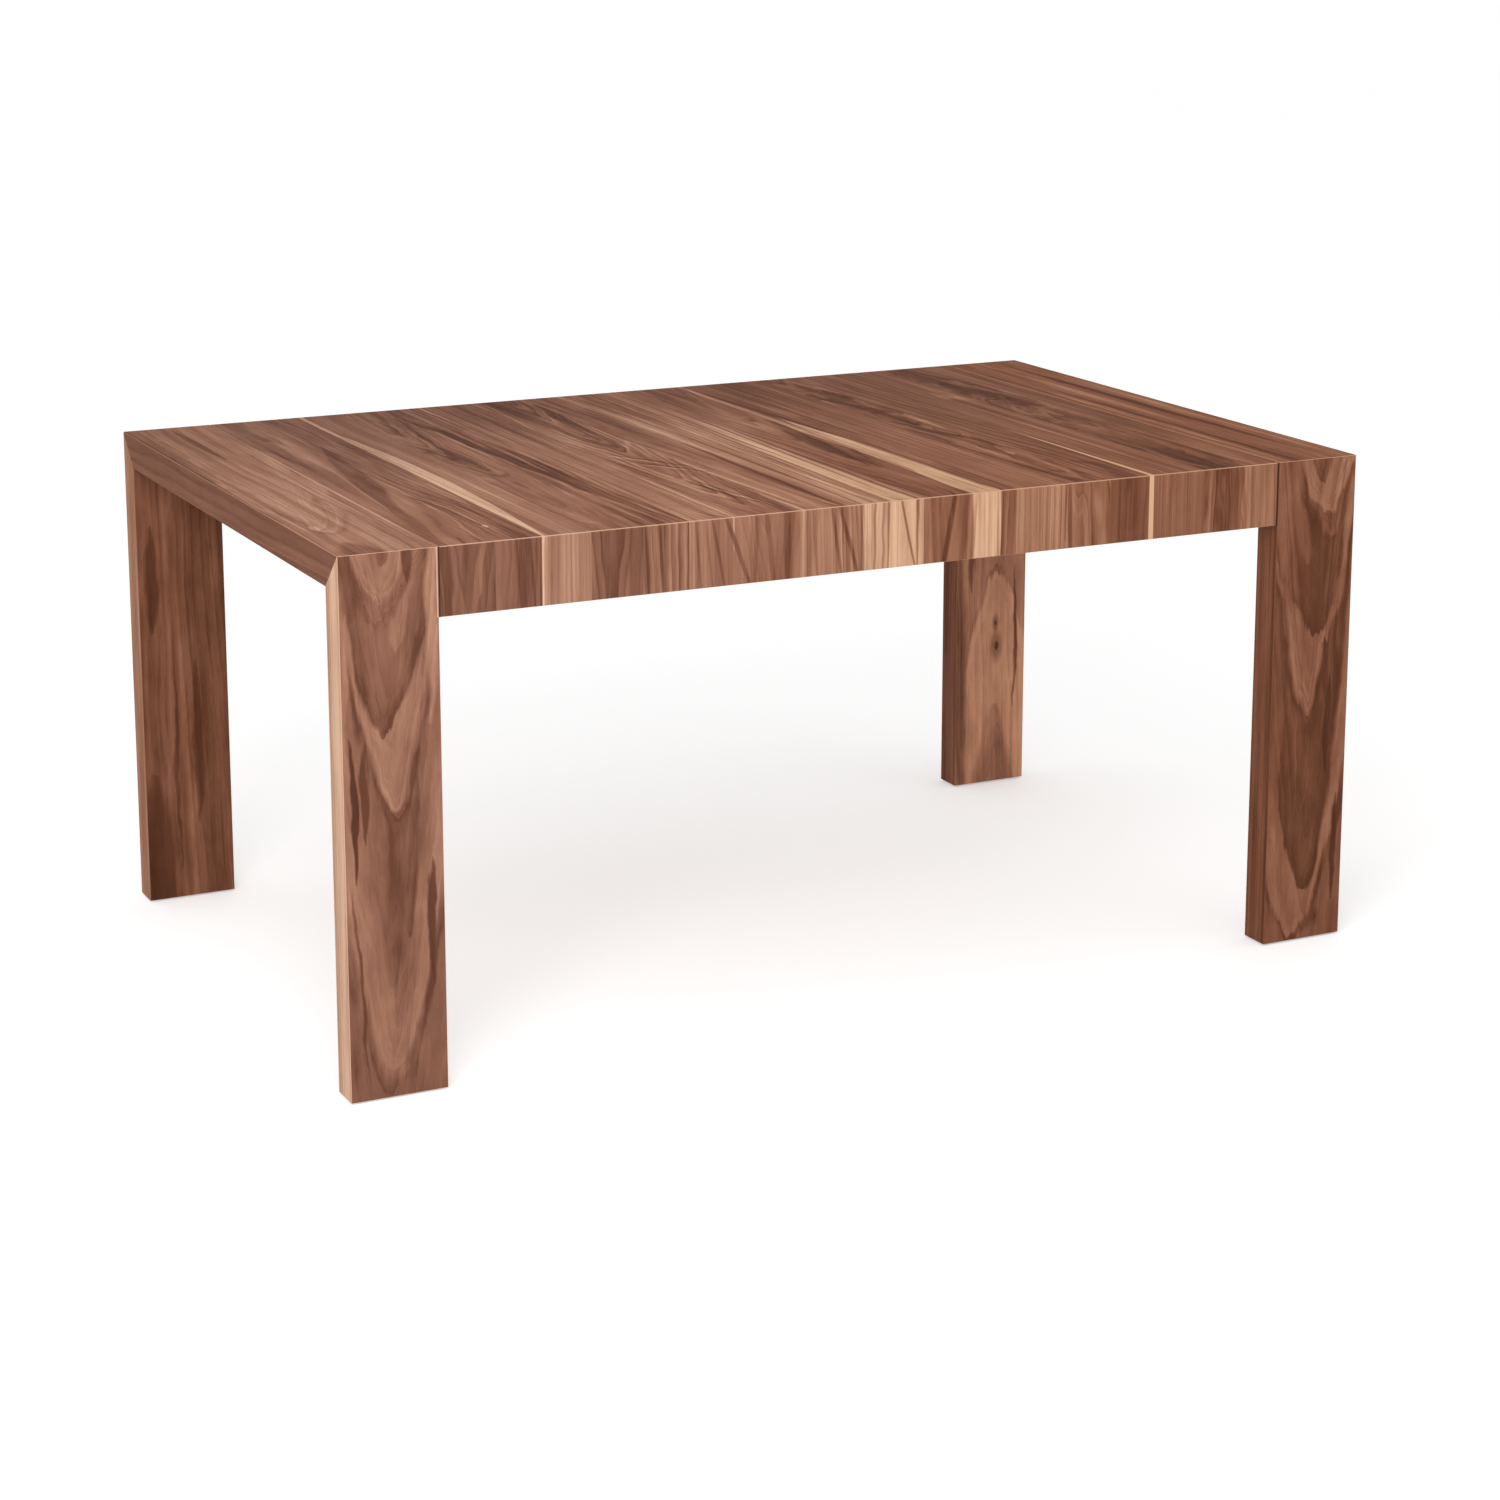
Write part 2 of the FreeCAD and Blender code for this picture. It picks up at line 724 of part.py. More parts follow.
def make_packer(across):
    side = sides_across[across]
    body = new_body(f"packer_{across}")
    outline = rectangle(("-mouth", "mouth"), span(side, "channel_outer", "apron_inner"))
    pad(body, "XY", outline, ("channel_floor", "top_underside"))
    centres = bearer_screw_places(side) + channel_screw_places(side)
    depth = ("channel_floor - overrun", "bearer_top + screw_grip")
    bore(body, "XY", centres, "screw_diameter + 2 * fit_gap", depth)


def make_channel_screws():
    solids = []
    for side in sides_across.values():
        for along, across in channel_screw_places(side):
            head_at = point(along, across, "bearer_top")
            solids.append(screw("screw", "screw_grip - fit_gap", head_at, Vector(0, 0, 1)))
    group("channel_screws", solids)


def make_guide_liner(along, across):
    body = new_body(f"guide_liner_{across}_{along}")
    corners = [
        ("bay_inner", "top_underside"),
        ("bay_inner", "channel_floor"),
        ("bay_outer", "channel_floor"),
        ("bay_outer", "top_underside"),
        ("bay_outer - liner_wall", "top_underside"),
        ("bay_outer - liner_wall", "channel_floor + liner_wall"),
        ("bay_inner + liner_wall", "channel_floor + liner_wall"),
        ("bay_inner + liner_wall", "top_underside"),
    ]
    stretch = span(sides_along[along], "liner_start", "mouth")
    pad(body, "YZ", mirrored(sides_across[across], corners), stretch)


def make_leaf_bearer(name):
    body = new_body(f"leaf_bearer_{name}")
    middle = f"{bearer_sides[name]} * end_bearer"
    along = (f"{middle} - bearer_width / 2", f"{middle} + bearer_width / 2")
    outline = rectangle(along, ("-apron_inner", "apron_inner"))
    pad(body, "XY", outline, ("bearer_underside", "bearer_top"))
    centres = [(middle, f"{side} * flange_line") for side in sides_across.values()]
    depth = ("bearer_underside - overrun", "bearer_top + overrun")
    bore(body, "XY", centres, "screw_diameter + 2 * fit_gap", depth)


def make_bearer_screws():
    grip = "bearer_thickness + screw_grip - fit_gap"
    solids = []
    for side in sides_across.values():
        for along, across in bearer_screw_places(side):
            head_at = point(along, across, "bearer_underside")
            solids.append(screw("screw", grip, head_at, Vector(0, 0, 1)))
    group("bearer_screws", solids)


def make_bearer_felts():
    length = number("felt_width")
    width = number("leaf_outer - leaf_inner - 2 * felt_margin")
    solids = []
    for bearer in bearer_sides.values():
        for side in sides_across.values():
            low = span(side, "leaf_inner + felt_margin", "leaf_outer - felt_margin")[0]
            corner = point(f"{bearer} * end_bearer - felt_width / 2", low, "bearer_top")
            solids.append(Part.makeBox(length, width, number("felt_thickness"), corner))
    group("bearer_felts", solids)


def make_leaf_divider():
    along = ("-divider_end", "divider_end")
    across = ("-divider_width / 2", "divider_width / 2")
    box("leaf_divider", along, across, ("bearer_top", "bearer_top + divider_height"))


def make_leaf(across):
    # The leaf is stored lengthwise: its joining edges face the divider and the channel.
    side = sides_across[across]
    body = new_body(f"leaf_{across}")
    along = ("-half_width", "half_width")
    stretch = span(side, "leaf_inner", "leaf_outer")
    pad(body, "XY", rectangle(along, stretch), ("leaf_underside", "leaf_top"))
    ease_edges(body, 0, [(edge, "leaf_top") for edge in stretch])
    ease_edges(body, 1, [(end, "leaf_top") for end in along])
    centres = [(f"{share} * table_width", "leaf_dowel_level") for share in dowel_shares]
    sockets = span(side, "leaf_outer - socket_depth_in_edge", "leaf_outer + overrun")
    bore(body, "XZ", centres, "dowel_diameter + 2 * socket_gap", sockets)
    seats = span(side, "leaf_inner - overrun", "leaf_inner + dowel_seat + fit_gap")
    bore(body, "XZ", centres, "dowel_diameter + 2 * fit_gap", seats)


def make_leaf_dowels(across):
    side = sides_across[across]
    solids = []
    for share in dowel_shares:
        start = point(f"{share} * table_width", f"{side} * (leaf_inner - dowel_reach)", "leaf_dowel_level")
        solids.append(dowel(start, Vector(0, side, 0), number("dowel_reach + dowel_seat")))
    group(f"leaf_dowels_{across}", solids)


def make_latch_plate(along):
    side = sides_along[along]
    body = new_body(f"latch_plate_{along}")
    ends = ("latch_pivot - plate_length / 2", "latch_pivot + plate_length / 2")
    outline = rectangle(span(side, *ends), span(latch_side, "channel_inner", "channel_outer"))
    pad(body, "XY", outline, ("plate_underside", "bearer_top"))
    depth = ("plate_underside - overrun", "bearer_top + overrun")
    screws = plate_screw_places(side)
    bore(body, "XY", screws, "small_screw_diameter + 2 * fit_gap", depth)
    pivot = [(f"{side} * latch_pivot", f"{latch_side} * beam_line")]
    bore(body, "XY", pivot, "rivet_diameter + 2 * fit_gap", depth)


def make_latch_rivet(along):
    body = new_body(f"latch_rivet_{along}")
    pivot = [(f"{sides_along[along]} * latch_pivot", f"{latch_side} * beam_line")]
    round_pad(body, "XY", pivot, "rivet_diameter", ("rivet_head_top", "bearer_top"))
    head = ("rivet_head_top - rivet_head_height", "rivet_head_top")
    round_pad(body, "XY", pivot, "rivet_head_diameter", head)


def make_latch_screws():
    grip = "plate_thickness + channel_wall - fit_gap"
    solids = []
    for side in sides_along.values():
        for along, across in plate_screw_places(side):
            head_at = point(along, across, "plate_underside")
            solids.append(screw("small_screw", grip, head_at, Vector(0, 0, 1)))
    group("latch_screws", solids)


def make_latch_lever(along):
    # Drawn unlocked: it points to the middle of the table. The slot faces the way it turns.
    side = sides_along[along]
    body = new_body(f"latch_lever_{along}")
    middle = f"{side} * latch_pivot"
    line = "beam_line"
    stretch = ("lever_underside", "lever_top")
    across = span(latch_side, f"{line} - lever_length", line)
    along_stretch = (f"{middle} - lever_width / 2", f"{middle} + lever_width / 2")
    pad(body, "XY", rectangle(along_stretch, across), stretch)
    ends = [(middle, f"{latch_side} * {place}") for place in (line, f"({line} - lever_length)")]
    for centre in ends:
        round_pad(body, "XY", [centre], "lever_width", stretch)
    through = ("lever_underside - overrun", "lever_top + overrun")
    bore(body, "XY", ends[:1], "rivet_diameter + 2 * lever_bore_gap", through)
    slot_centre = (middle, f"{latch_side} * ({line} - latch_reach)")
    slot_diameter = "peg_diameter + 2 * peg_gap"
    bore(body, "XY", [slot_centre], slot_diameter, through)
    slot_along = (middle, f"{middle} + {side} * (lever_width / 2 + overrun)")
    half_slot = f"({slot_diameter}) / 2"
    slot_across = (f"{slot_centre[1]} - {half_slot}", f"{slot_centre[1]} + {half_slot}")
    cut(body, "XY", rectangle(slot_along, slot_across), through)


def build_end_frame(along):
    for across in sides_across:
        make_leg(along, across)
        make_slide_beam(along, across)
        make_beam_slider(along, across)
    make_end_rail(along)
    make_mitre_splines(along)
    make_beam_bolts(along)
    make_end_dowels(along)
    make_foot_glides(along)
    make_latch_keeper(along)
    make_keeper_screws(along)


def build_centre_section():
    make_centre_top()
    for across in sides_across:
        make_apron(across)
        make_packer(across)
        make_guide_channel(across)
        for along in sides_along:
            make_guide_liner(along, across)
    for name in bearer_sides:
        make_cross_rail(name)
        make_leaf_bearer(name)
    make_cross_rail_screws()
    make_channel_screws()
    make_bearer_screws()
    make_bearer_felts()
    make_leaf_divider()


def build_leaves():
    for across in sides_across:
        make_leaf(across)
        make_leaf_dowels(across)


def build_latches():
    for along in sides_along:
        make_latch_plate(along)
        make_latch_rivet(along)
        make_latch_lever(along)
    make_latch_screws()


def check_document():
    document.recompute()
    for item in document.Objects:
        if "Invalid" in item.State or "Error" in item.State:
            raise RuntimeError(item.Label + ": " + ", ".join(item.State))
    for piece in sub_parts:
        if piece.Shape.isNull() or not piece.Shape.isValid():
            raise RuntimeError(piece.Label + ": its shape is not valid")


def export_sub_parts():
    os.makedirs("parts", exist_ok=True)
    for piece in sub_parts:
        piece.Shape.exportStep(os.path.join("parts", piece.Label + ".step"))
    print(len(sub_parts), "sub-parts written")


fill_sheets()
build_end_frame("left")
build_end_frame("right")
build_centre_section()
build_leaves()
build_latches()
check_document()
export_sub_parts()
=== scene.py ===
import json
import math
import bmesh
import bpy
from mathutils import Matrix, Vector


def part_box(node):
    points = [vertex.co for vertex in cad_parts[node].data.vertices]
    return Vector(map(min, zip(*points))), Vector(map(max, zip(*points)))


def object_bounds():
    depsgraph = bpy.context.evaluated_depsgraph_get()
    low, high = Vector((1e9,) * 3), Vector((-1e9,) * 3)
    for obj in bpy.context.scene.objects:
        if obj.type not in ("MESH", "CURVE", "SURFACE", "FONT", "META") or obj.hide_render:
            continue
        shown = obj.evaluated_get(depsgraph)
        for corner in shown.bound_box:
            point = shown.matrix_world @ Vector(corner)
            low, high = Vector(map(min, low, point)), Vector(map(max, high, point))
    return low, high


# Extending dining table in walnut veneer, in metres: +X along the table, +Y to its rear side, +Z up.

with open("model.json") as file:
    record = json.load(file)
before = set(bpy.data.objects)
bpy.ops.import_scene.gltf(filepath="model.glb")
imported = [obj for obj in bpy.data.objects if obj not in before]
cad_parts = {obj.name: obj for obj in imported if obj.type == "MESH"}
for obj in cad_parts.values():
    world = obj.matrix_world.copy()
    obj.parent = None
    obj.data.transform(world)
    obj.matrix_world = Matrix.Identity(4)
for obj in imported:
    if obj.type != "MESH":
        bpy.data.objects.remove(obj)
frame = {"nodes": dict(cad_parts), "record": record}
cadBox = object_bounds()
nodes = frame["nodes"]
print("frame loaded:", len(nodes), "nodes")

# Sizes of the table, read from the frame
tableLow, tableHigh = cadBox
tableLength = tableHigh.x - tableLow.x
tableWidth = tableHigh.y - tableLow.y
topLevel = tableHigh.z
sides = {"left": -1, "right": 1}
rows = {"front": -1, "rear": 1}


class Wire:
    # One value in a shader tree. Each sum or product of wires becomes a Math node.
    def __init__(self, tree, socket):
        self.tree = tree
        self.socket = socket

    def maths(self, operation, *others):
        made = self.tree.nodes.new("ShaderNodeMath")
        made.operation = operation
        for socket, term in zip(made.inputs, (self,) + others):
            feed(self.tree, socket, term)
        return Wire(self.tree, made.outputs[0])

    def __add__(self, other):
        return self.maths("ADD", other)

    def __sub__(self, other):
        return self.maths("SUBTRACT", other)

    def __rsub__(self, other):
        return (self * -1) + other

    def __mul__(self, other):
        return self.maths("MULTIPLY", other)

    def __truediv__(self, other):
        return self.maths("DIVIDE", other)


def feed(tree, socket, value):
    if isinstance(value, Wire):
        tree.links.new(value.socket, socket)
    else:
        socket.default_value = value


def addNode(tree, kind, takes=None, **settings):
    made = tree.nodes.new("ShaderNode" + kind)
    for name, value in settings.items():
        setattr(made, name, value)
    for label, value in (takes or {}).items():
        feed(tree, made.inputs[label], value)
    return made


def size(value):
    return value.maths("ABSOLUTE")


def over(value, level):
    return value.maths("GREATER_THAN", level)


def larger(value, other):
    return value.maths("MAXIMUM", other)


def smaller(value, other):
    return value.maths("MINIMUM", other)


def distance(first, second):
    return (first * first + second * second).maths("SQRT")


def mix(first, second, share):
    # first where share is 0, second where it is 1
    return (share * (second - first)) + first


def rise(value, low, high):
    # 0 up to low, 1 from high on, and a smooth step between
    takes = {"Value": value, "From Min": low, "From Max": high}
    made = addNode(value.tree, "MapRange", takes, interpolation_type="SMOOTHSTEP")
    return Wire(value.tree, made.outputs["Result"])


def softStep(value, soft):
    return rise(value, soft * -0.5, soft * 0.5)


def nearEdge(fromEdge, width):
    # 1 at an edge, and 0 from this width on
    return rise(fromEdge, width, width * 0.5)


facingLevel = 0.6


def facing(component):
    # 1 where a face looks along the axis of this component of its normal
    return over(size(component), facingLevel)


def noise(across, along, seed, detail, roughness):
    tree = across.tree
    place = addNode(tree, "CombineXYZ", {"X": across, "Y": along, "Z": seed})
    takes = {"Vector": Wire(tree, place.outputs[0]), "Scale": 1.0, "Detail": detail, "Roughness": roughness}
    made = addNode(tree, "TexNoise", takes)
    return Wire(tree, made.outputs[0])


def lineNoise(place, detail, roughness=0.5):
    # Lies around 0, from -0.5 to 0.5
    takes = {"W": place, "Scale": 1.0, "Detail": detail, "Roughness": roughness}
    made = addNode(place.tree, "TexNoise", takes, noise_dimensions="1D")
    return Wire(place.tree, made.outputs[0]) - 0.5


def colourRamp(value, stops, interpolation="LINEAR"):
    # stops are (place from 0 to 1, colour)
    made = addNode(value.tree, "ValToRGB", {"Fac": value})
    ramp = made.color_ramp
    ramp.interpolation = interpolation
    ramp.elements.remove(ramp.elements[1])
    for count, (place, colour) in enumerate(stops):
        element = ramp.elements.new(place) if count else ramp.elements[0]
        element.position = place
        element.color = colour
    return Wire(value.tree, made.outputs["Color"])


# The Mix node has sockets of the same name for each kind of value, so those for colours go by number
mixSockets = {"share": 0, "first": 6, "second": 7, "result": 2}


def blendColours(tree, share, first, second):
    blend = addNode(tree, "Mix", data_type="RGBA", clamp_factor=False)
    for label, value in {"share": share, "first": first, "second": second}.items():
        feed(tree, blend.inputs[mixSockets[label]], value)
    return Wire(tree, blend.outputs[mixSockets["result"]])


def parts(tree, vector):
    made = addNode(tree, "SeparateXYZ", {"Vector": vector})
    return [Wire(tree, socket) for socket in made.outputs]


def newGroup(name, takes, gives):
    tree = bpy.data.node_groups.new(name, "ShaderNodeTree")
    for label in takes:
        tree.interface.new_socket(name=label, in_out="INPUT", socket_type="NodeSocketFloat")
    for label in gives:
        tree.interface.new_socket(name=label, in_out="OUTPUT", socket_type="NodeSocketFloat")
    entry = tree.nodes.new("NodeGroupInput")
    return tree, {label: Wire(tree, entry.outputs[label]) for label in takes}


def closeGroup(tree, **results):
    leave = tree.nodes.new("NodeGroupOutput")
    for label, wire in results.items():
        tree.links.new(wire.socket, leave.inputs[label])


def useGroup(tree, group, **values):
    made = tree.nodes.new("ShaderNodeGroup")
    made.node_tree = group
    for label, value in values.items():
        feed(tree, made.inputs[label], value)
    return {socket.name: Wire(tree, socket) for socket in made.outputs}


def seen(red, green, blue):
    # A colour as it looks on a screen, 0 to 255, in the shader's linear values
    toe, power, most = 0.055, 2.4, 255
    linear = [((part / most + toe) / (1 + toe)) ** power for part in (red, green, blue)]
    return (*linear, 1.0)


def newMaterial(name):
    material = bpy.data.materials.new(name)
    material.use_nodes = True
    tree = material.node_tree
    shader = tree.nodes["Principled BSDF"]
    coordinates = addNode(tree, "TexCoord")
    place = parts(tree, Wire(tree, coordinates.outputs["Object"]))
    normal = parts(tree, Wire(tree, coordinates.outputs["Normal"]))
    return material, tree, shader, place, normal


def finishShader(tree, shader, colour, roughness, height, bumpDepth):
    feed(tree, shader.inputs["Base Color"], colour)
    feed(tree, shader.inputs["Roughness"], roughness)
    bump = addNode(tree, "Bump", {"Height": height, "Distance": bumpDepth, "Strength": 1.0})
    tree.links.new(bump.outputs["Normal"], shader.inputs["Normal"])


# Shared effects of the wood

coolShades = {
    0.0: seen(70, 42, 32),
    0.3: seen(104, 66, 51),
    0.5: seen(138, 96, 78),
    0.65: seen(161, 117, 95),
    0.8: seen(187, 144, 120),
    1.0: seen(224, 184, 157),
}
# For the rear right leg: pinker and brighter, partly painted light for its inner face, which gets little of
# the lamp
rosyShades = {
    0.0: seen(74, 42, 32),
    0.3: seen(108, 67, 52),
    0.5: seen(143, 97, 77),
    0.65: seen(168, 116, 92),
    0.8: seen(192, 135, 107),
    1.0: seen(230, 165, 131),
}
warmShades = {
    0.0: seen(70, 40, 27),
    0.3: seen(105, 63, 43),
    0.5: seen(138, 89, 65),
    0.65: seen(161, 111, 85),
    0.8: seen(185, 138, 108),
    1.0: seen(219, 176, 139),
}
# Colour of the painted shade in the narrow gap where two sections meet
gapShadeColour = seen(36, 21, 16)

# Noise fields: scale across and along the grain, seed, detail and roughness
woodFields = {
    "drift": (5, 1.3, 0, 1, 0.5),
    "ripple": (26, 5.5, 7, 2, 0.5),
    "clear": (16, 2.2, 9, 2, 0.5),
    "cloud": (21, 3.1, 11, 3, 0.6),
    "fibre": (260, 7, 3, 2, 0.65),
    "pores": (760, 26, 5, 1, 0.5),
    "flame": (62, 3.6, 13, 3, 0.62),
    "stray": (9, 6, 0, 3, 0.5),
    "legBend": (22, 7, 40, 4, 0.5),
    "legSlip": (30, 10, 50, 4, 0.5),
    "legFeather": (150, 6, 60, 2, 0.5),
    "legPatches": (24, 8, 70, 2, 0.5),
    "legClouds": (28, 9, 80, 4, 0.6),
    "railStray": (20, 9, 8, 3, 0.5),
}


def woodNoise(name, across, along, seed):
    # Lies around 0, from -0.5 to 0.5
    scaleAcross, scaleAlong, offset, detail, roughness = woodFields[name]
    return noise(across * scaleAcross, along * scaleAlong, seed + offset, detail, roughness) - 0.5


figureShares = {"drift": 2.4, "ripple": 0.7}


def makeVeneerFigure():
    # Where a knife cuts the growth rings: rings is the distance from the heart line across the
    # sheet, and rake closes it along the sheet into pointed arches.
    tree, takes = newGroup(
        "veneerFigure", ["across", "along", "heart", "rake", "blunt", "wander", "seed"], ["rings"]
    )
    across, along, seed = takes["across"], takes["along"], takes["seed"]
    drift = woodNoise("drift", across, along, seed) * figureShares["drift"]
    ripple = woodNoise("ripple", across, along, seed) * figureShares["ripple"]
    offset = across - takes["heart"] + takes["wander"] * drift
    reach = distance(offset, takes["blunt"])
    closeGroup(tree, rings=reach - along * takes["rake"] + takes["wander"] * ripple)
    return tree


# Ranges are those of the smooth steps, and shares say how strongly each part counts
grain = {
    "broadRings": 0.21,
    "broadSeed": 3.1,
    "fineSeed": 7.7,
    "ringWobble": 2.0,
    "lateStart": (0.5, 0.93),
    "lateEnd": (1.0, 0.94),
    "clearRange": (-0.14, 0.12),
    "clearLeast": 0.25,
    "poreRange": (0.10, 0.22),
    "broadShare": 0.5,
    "cloudShare": 0.7,
    "flameShare": 0.72,
    "fineShare": 1.05,
    "lateShare": 0.28,
    "lift": 0.08,
    "fibreShare": 0.3,
    "poreShare": 0.07,
    "fibreHeight": 0.5,
    "lateHeight": 0.2,
}


def makeSawnVeneer(figureGroup):
    # One sheet of veneer: how far its bands, growth lines, fibres and pores lie from its own tone
    takesLabels = ["across", "along", "contrast", "spacing", "heart", "rake", "blunt", "wander", "seed"]
    tree, takes = newGroup("sawnVeneer", takesLabels, ["detail", "height"])
    across, along, seed = takes["across"], takes["along"], takes["seed"]
    figure = useGroup(
        tree, figureGroup, across=across, along=along, heart=takes["heart"], rake=takes["rake"],
        blunt=takes["blunt"], wander=takes["wander"], seed=seed,
    )
    turns = figure["rings"] / takes["spacing"]
    broad = lineNoise(turns * grain["broadRings"] + seed * grain["broadSeed"], detail=1)
    fine = lineNoise(turns + seed * grain["fineSeed"], detail=2.5, roughness=0.6)
    within = (turns + fine * grain["ringWobble"]).maths("FRACT")
    lateWood = rise(within, *grain["lateStart"]) * rise(within, *grain["lateEnd"])
    clear = rise(woodNoise("clear", across, along, seed), *grain["clearRange"])
    clear = clear * (1 - grain["clearLeast"]) + grain["clearLeast"]
    cloud = woodNoise("cloud", across, along, seed)
    fibre = woodNoise("fibre", across, along, seed)
    pores = rise(woodNoise("pores", across, along, seed), *grain["poreRange"])
    flame = woodNoise("flame", across, along, seed)
    lines = fine * grain["fineShare"] - lateWood * grain["lateShare"] + grain["lift"]
    bands = broad * grain["broadShare"] + cloud * grain["cloudShare"] + flame * grain["flameShare"]
    bands = bands + lines * clear + fibre * grain["fibreShare"] * clear
    height = fibre * grain["fibreHeight"] - pores - lateWood * grain["lateHeight"]
    closeGroup(tree, detail=takes["contrast"] * bands - pores * grain["poreShare"], height=height)
    return tree


leastStreak = 0.0002


def makeStreak():
    # A long lens-shaped streak, such as sapwood or a dark flame. bulge moves its middle to one side.
    takesLabels = ["across", "along", "place", "lean", "half", "middle", "reach", "bulge", "soft"]
    tree, takes = newGroup("streak", takesLabels, ["mask"])
    far = (takes["along"] - takes["middle"]) / takes["reach"]
    half = larger(1 - far * far, 0.0) * takes["half"]
    line = takes["place"] + takes["lean"] * takes["along"] + takes["bulge"] * half
    inside = half - size(takes["across"] - line)
    closeGroup(tree, mask=softStep(inside, takes["soft"]) * over(half, leastStreak))
    return tree


# Steps are in radii of the knot
knotLook = {
    "stretch": 0.45,
    "core": (1.1, 0.5),
    "shade": (3.2, 1.0),
    "shadeShare": 0.45,
    "push": (4.5, 0.6),
    "pushShare": 0.6,
}


def makePinKnot():
    # A small dark knot: mask is its core and the shade round it, push bends the grain out of its way
    tree, takes = newGroup(
        "pinKnot", ["across", "along", "placeAcross", "placeAlong", "radius"], ["mask", "push"]
    )
    offset = (takes["across"] - takes["placeAcross"]) / takes["radius"]
    rest = (takes["along"] - takes["placeAlong"]) / takes["radius"] * knotLook["stretch"]
    reach = distance(offset, rest)
    shade = rise(reach, *knotLook["shade"]) * knotLook["shadeShare"]
    push = offset * rise(reach, *knotLook["push"]) * takes["radius"] * knotLook["pushShare"]
    closeGroup(tree, mask=larger(rise(reach, *knotLook["core"]), shade), push=push)
    return tree


tongueLook = {"curve": 0.56, "fade": 0.024, "bandCount": 4.5, "bandSeed": 37, "bandShare": 0.2}


def makeTongue():
    # A cathedral tongue of flat-sawn figure: its tip points down, and it widens above it.
    # depth grows from 0 at its outline to 1 well inside.
    takesLabels = ["across", "along", "tip", "place", "half", "reach", "lean", "soft", "fade"]
    tree, takes = newGroup("tongue", takesLabels, ["mask", "depth"])
    above = takes["along"] - takes["tip"]
    width = larger(above / takes["reach"], 0.0).maths("POWER", tongueLook["curve"]) * takes["half"]
    inside = width - size(takes["across"] - takes["place"] - takes["lean"] * above)
    shape = softStep(inside, takes["soft"]) * over(above, 0.0)
    closeGroup(tree, mask=shape, depth=rise(inside, 0.0, takes["fade"]))
    return tree


easedRange = (0.97, 0.9)


def makeEasedEdge():
    # 1 on the small chamfers, whose normals point along no axis
    tree, takes = newGroup("easedEdge", ["normalX", "normalY", "normalZ"], ["mask"])
    most = larger(larger(size(takes["normalX"]), size(takes["normalY"])), size(takes["normalZ"]))
    closeGroup(tree, mask=rise(most, *easedRange))
    return tree


figureGroup = makeVeneerFigure()
sawnGroup = makeSawnVeneer(figureGroup)
streakGroup = makeStreak()
tongueGroup = makeTongue()
knotGroup = makePinKnot()
edgeGroup = makeEasedEdge()
print("shared groups made")

# The values of a sheet of veneer, in the order of the tables of sheets. A row can leave out its last.
figureLabels = ("contrast", "spacing", "heart", "rake", "blunt", "wander", "seed")
sheetLabels = ("end", "tone", *figureLabels, "apron", "fade")
# The least and the most that a colour ramp holds of each value
sheetRanges = {
    "tone": (0.0, 1.2),
    "contrast": (0.0, 1.5),
    "spacing": (0.0, 0.1),
    "heart": (-0.5, 2.1),
    "rake": (-0.5, 0.5),
    "blunt": (0.0, 0.1),
    "wander": (0.0, 0.1),
    "seed": (0.0, 100.0),
    "apron": (-0.5, 0.5),
    "fade": (-0.5, 0.5),
}
channels = 3


def lookUp(place, entries):
    # Finds the entry whose stretch holds the place, and gives each of its values as a wire.
    # The last entry's end is the whole length.
    span = entries[-1]["end"]
    found = {}
    labels = list(sheetRanges)
    for first in range(0, len(labels), channels):
        group = labels[first:first + channels]
        stops = []
        start = 0.0
        for entry in entries:
            shares = []
            for label in group:
                low, high = sheetRanges[label]
                shares.append((entry.get(label, 0.0) - low) / (high - low))
            stops.append((start / span, (*shares, *[0.0] * (channels - len(group)), 1.0)))
            start = entry["end"]
        colour = colourRamp(place / span, stops, "CONSTANT")
        for label, share in zip(group, parts(place.tree, colour)):
            low, high = sheetRanges[label]
            found[label] = share * (high - low) + low
    return found


def lookUpFace(number, faces):
    # Finds the values of one face of a piece: each face has one unit of length, and 0 is the first
    entries = [dict(face, end=count + 1) for count, face in enumerate(faces)]
    return lookUp(number + 0.5, entries)


# The values of a streak, in the order of the tables of streaks. A row can leave out its last values.
streakLabels = ("tone", "place", "lean", "half", "middle", "reach", "soft", "wander", "strength", "bulge")
streakShape = ("place", "lean", "half", "middle", "reach", "soft", "bulge")
streakDefaults = {"soft": 0.004, "wander": 0.0, "strength": 0.85, "bulge": 0.0}
streakSeeds = {"centre": 2.0, "rails": 6.0}
strayAlongShare = 0.002


def addStreaks(tone, across, along, seed, streaks):
    stray = woodNoise("stray", across, along, seed)
    # With the stray in it, each streak is worked out just before its use, which saves shader memory
    along = along + stray * strayAlongShare
    for row in streaks.values():
        streak = {**streakDefaults, **dict(zip(streakLabels, row))}
        shape = {label: streak[label] for label in streakShape}
        line = across + stray * streak["wander"] if streak["wander"] else across
        mask = useGroup(tone.tree, streakGroup, across=line, along=along, **shape)["mask"]
        tone = mix(tone, streak["tone"], mask * streak["strength"])
    return tone


# The values of a tongue. inner is its tone well inside. A row can leave out its last values.
tongueShape = ("tip", "place", "half", "reach", "lean", "soft")
tongueLabels = ("tone", "inner", *tongueShape)
tongueDefaults = {"lean": 0.0, "soft": 0.008}


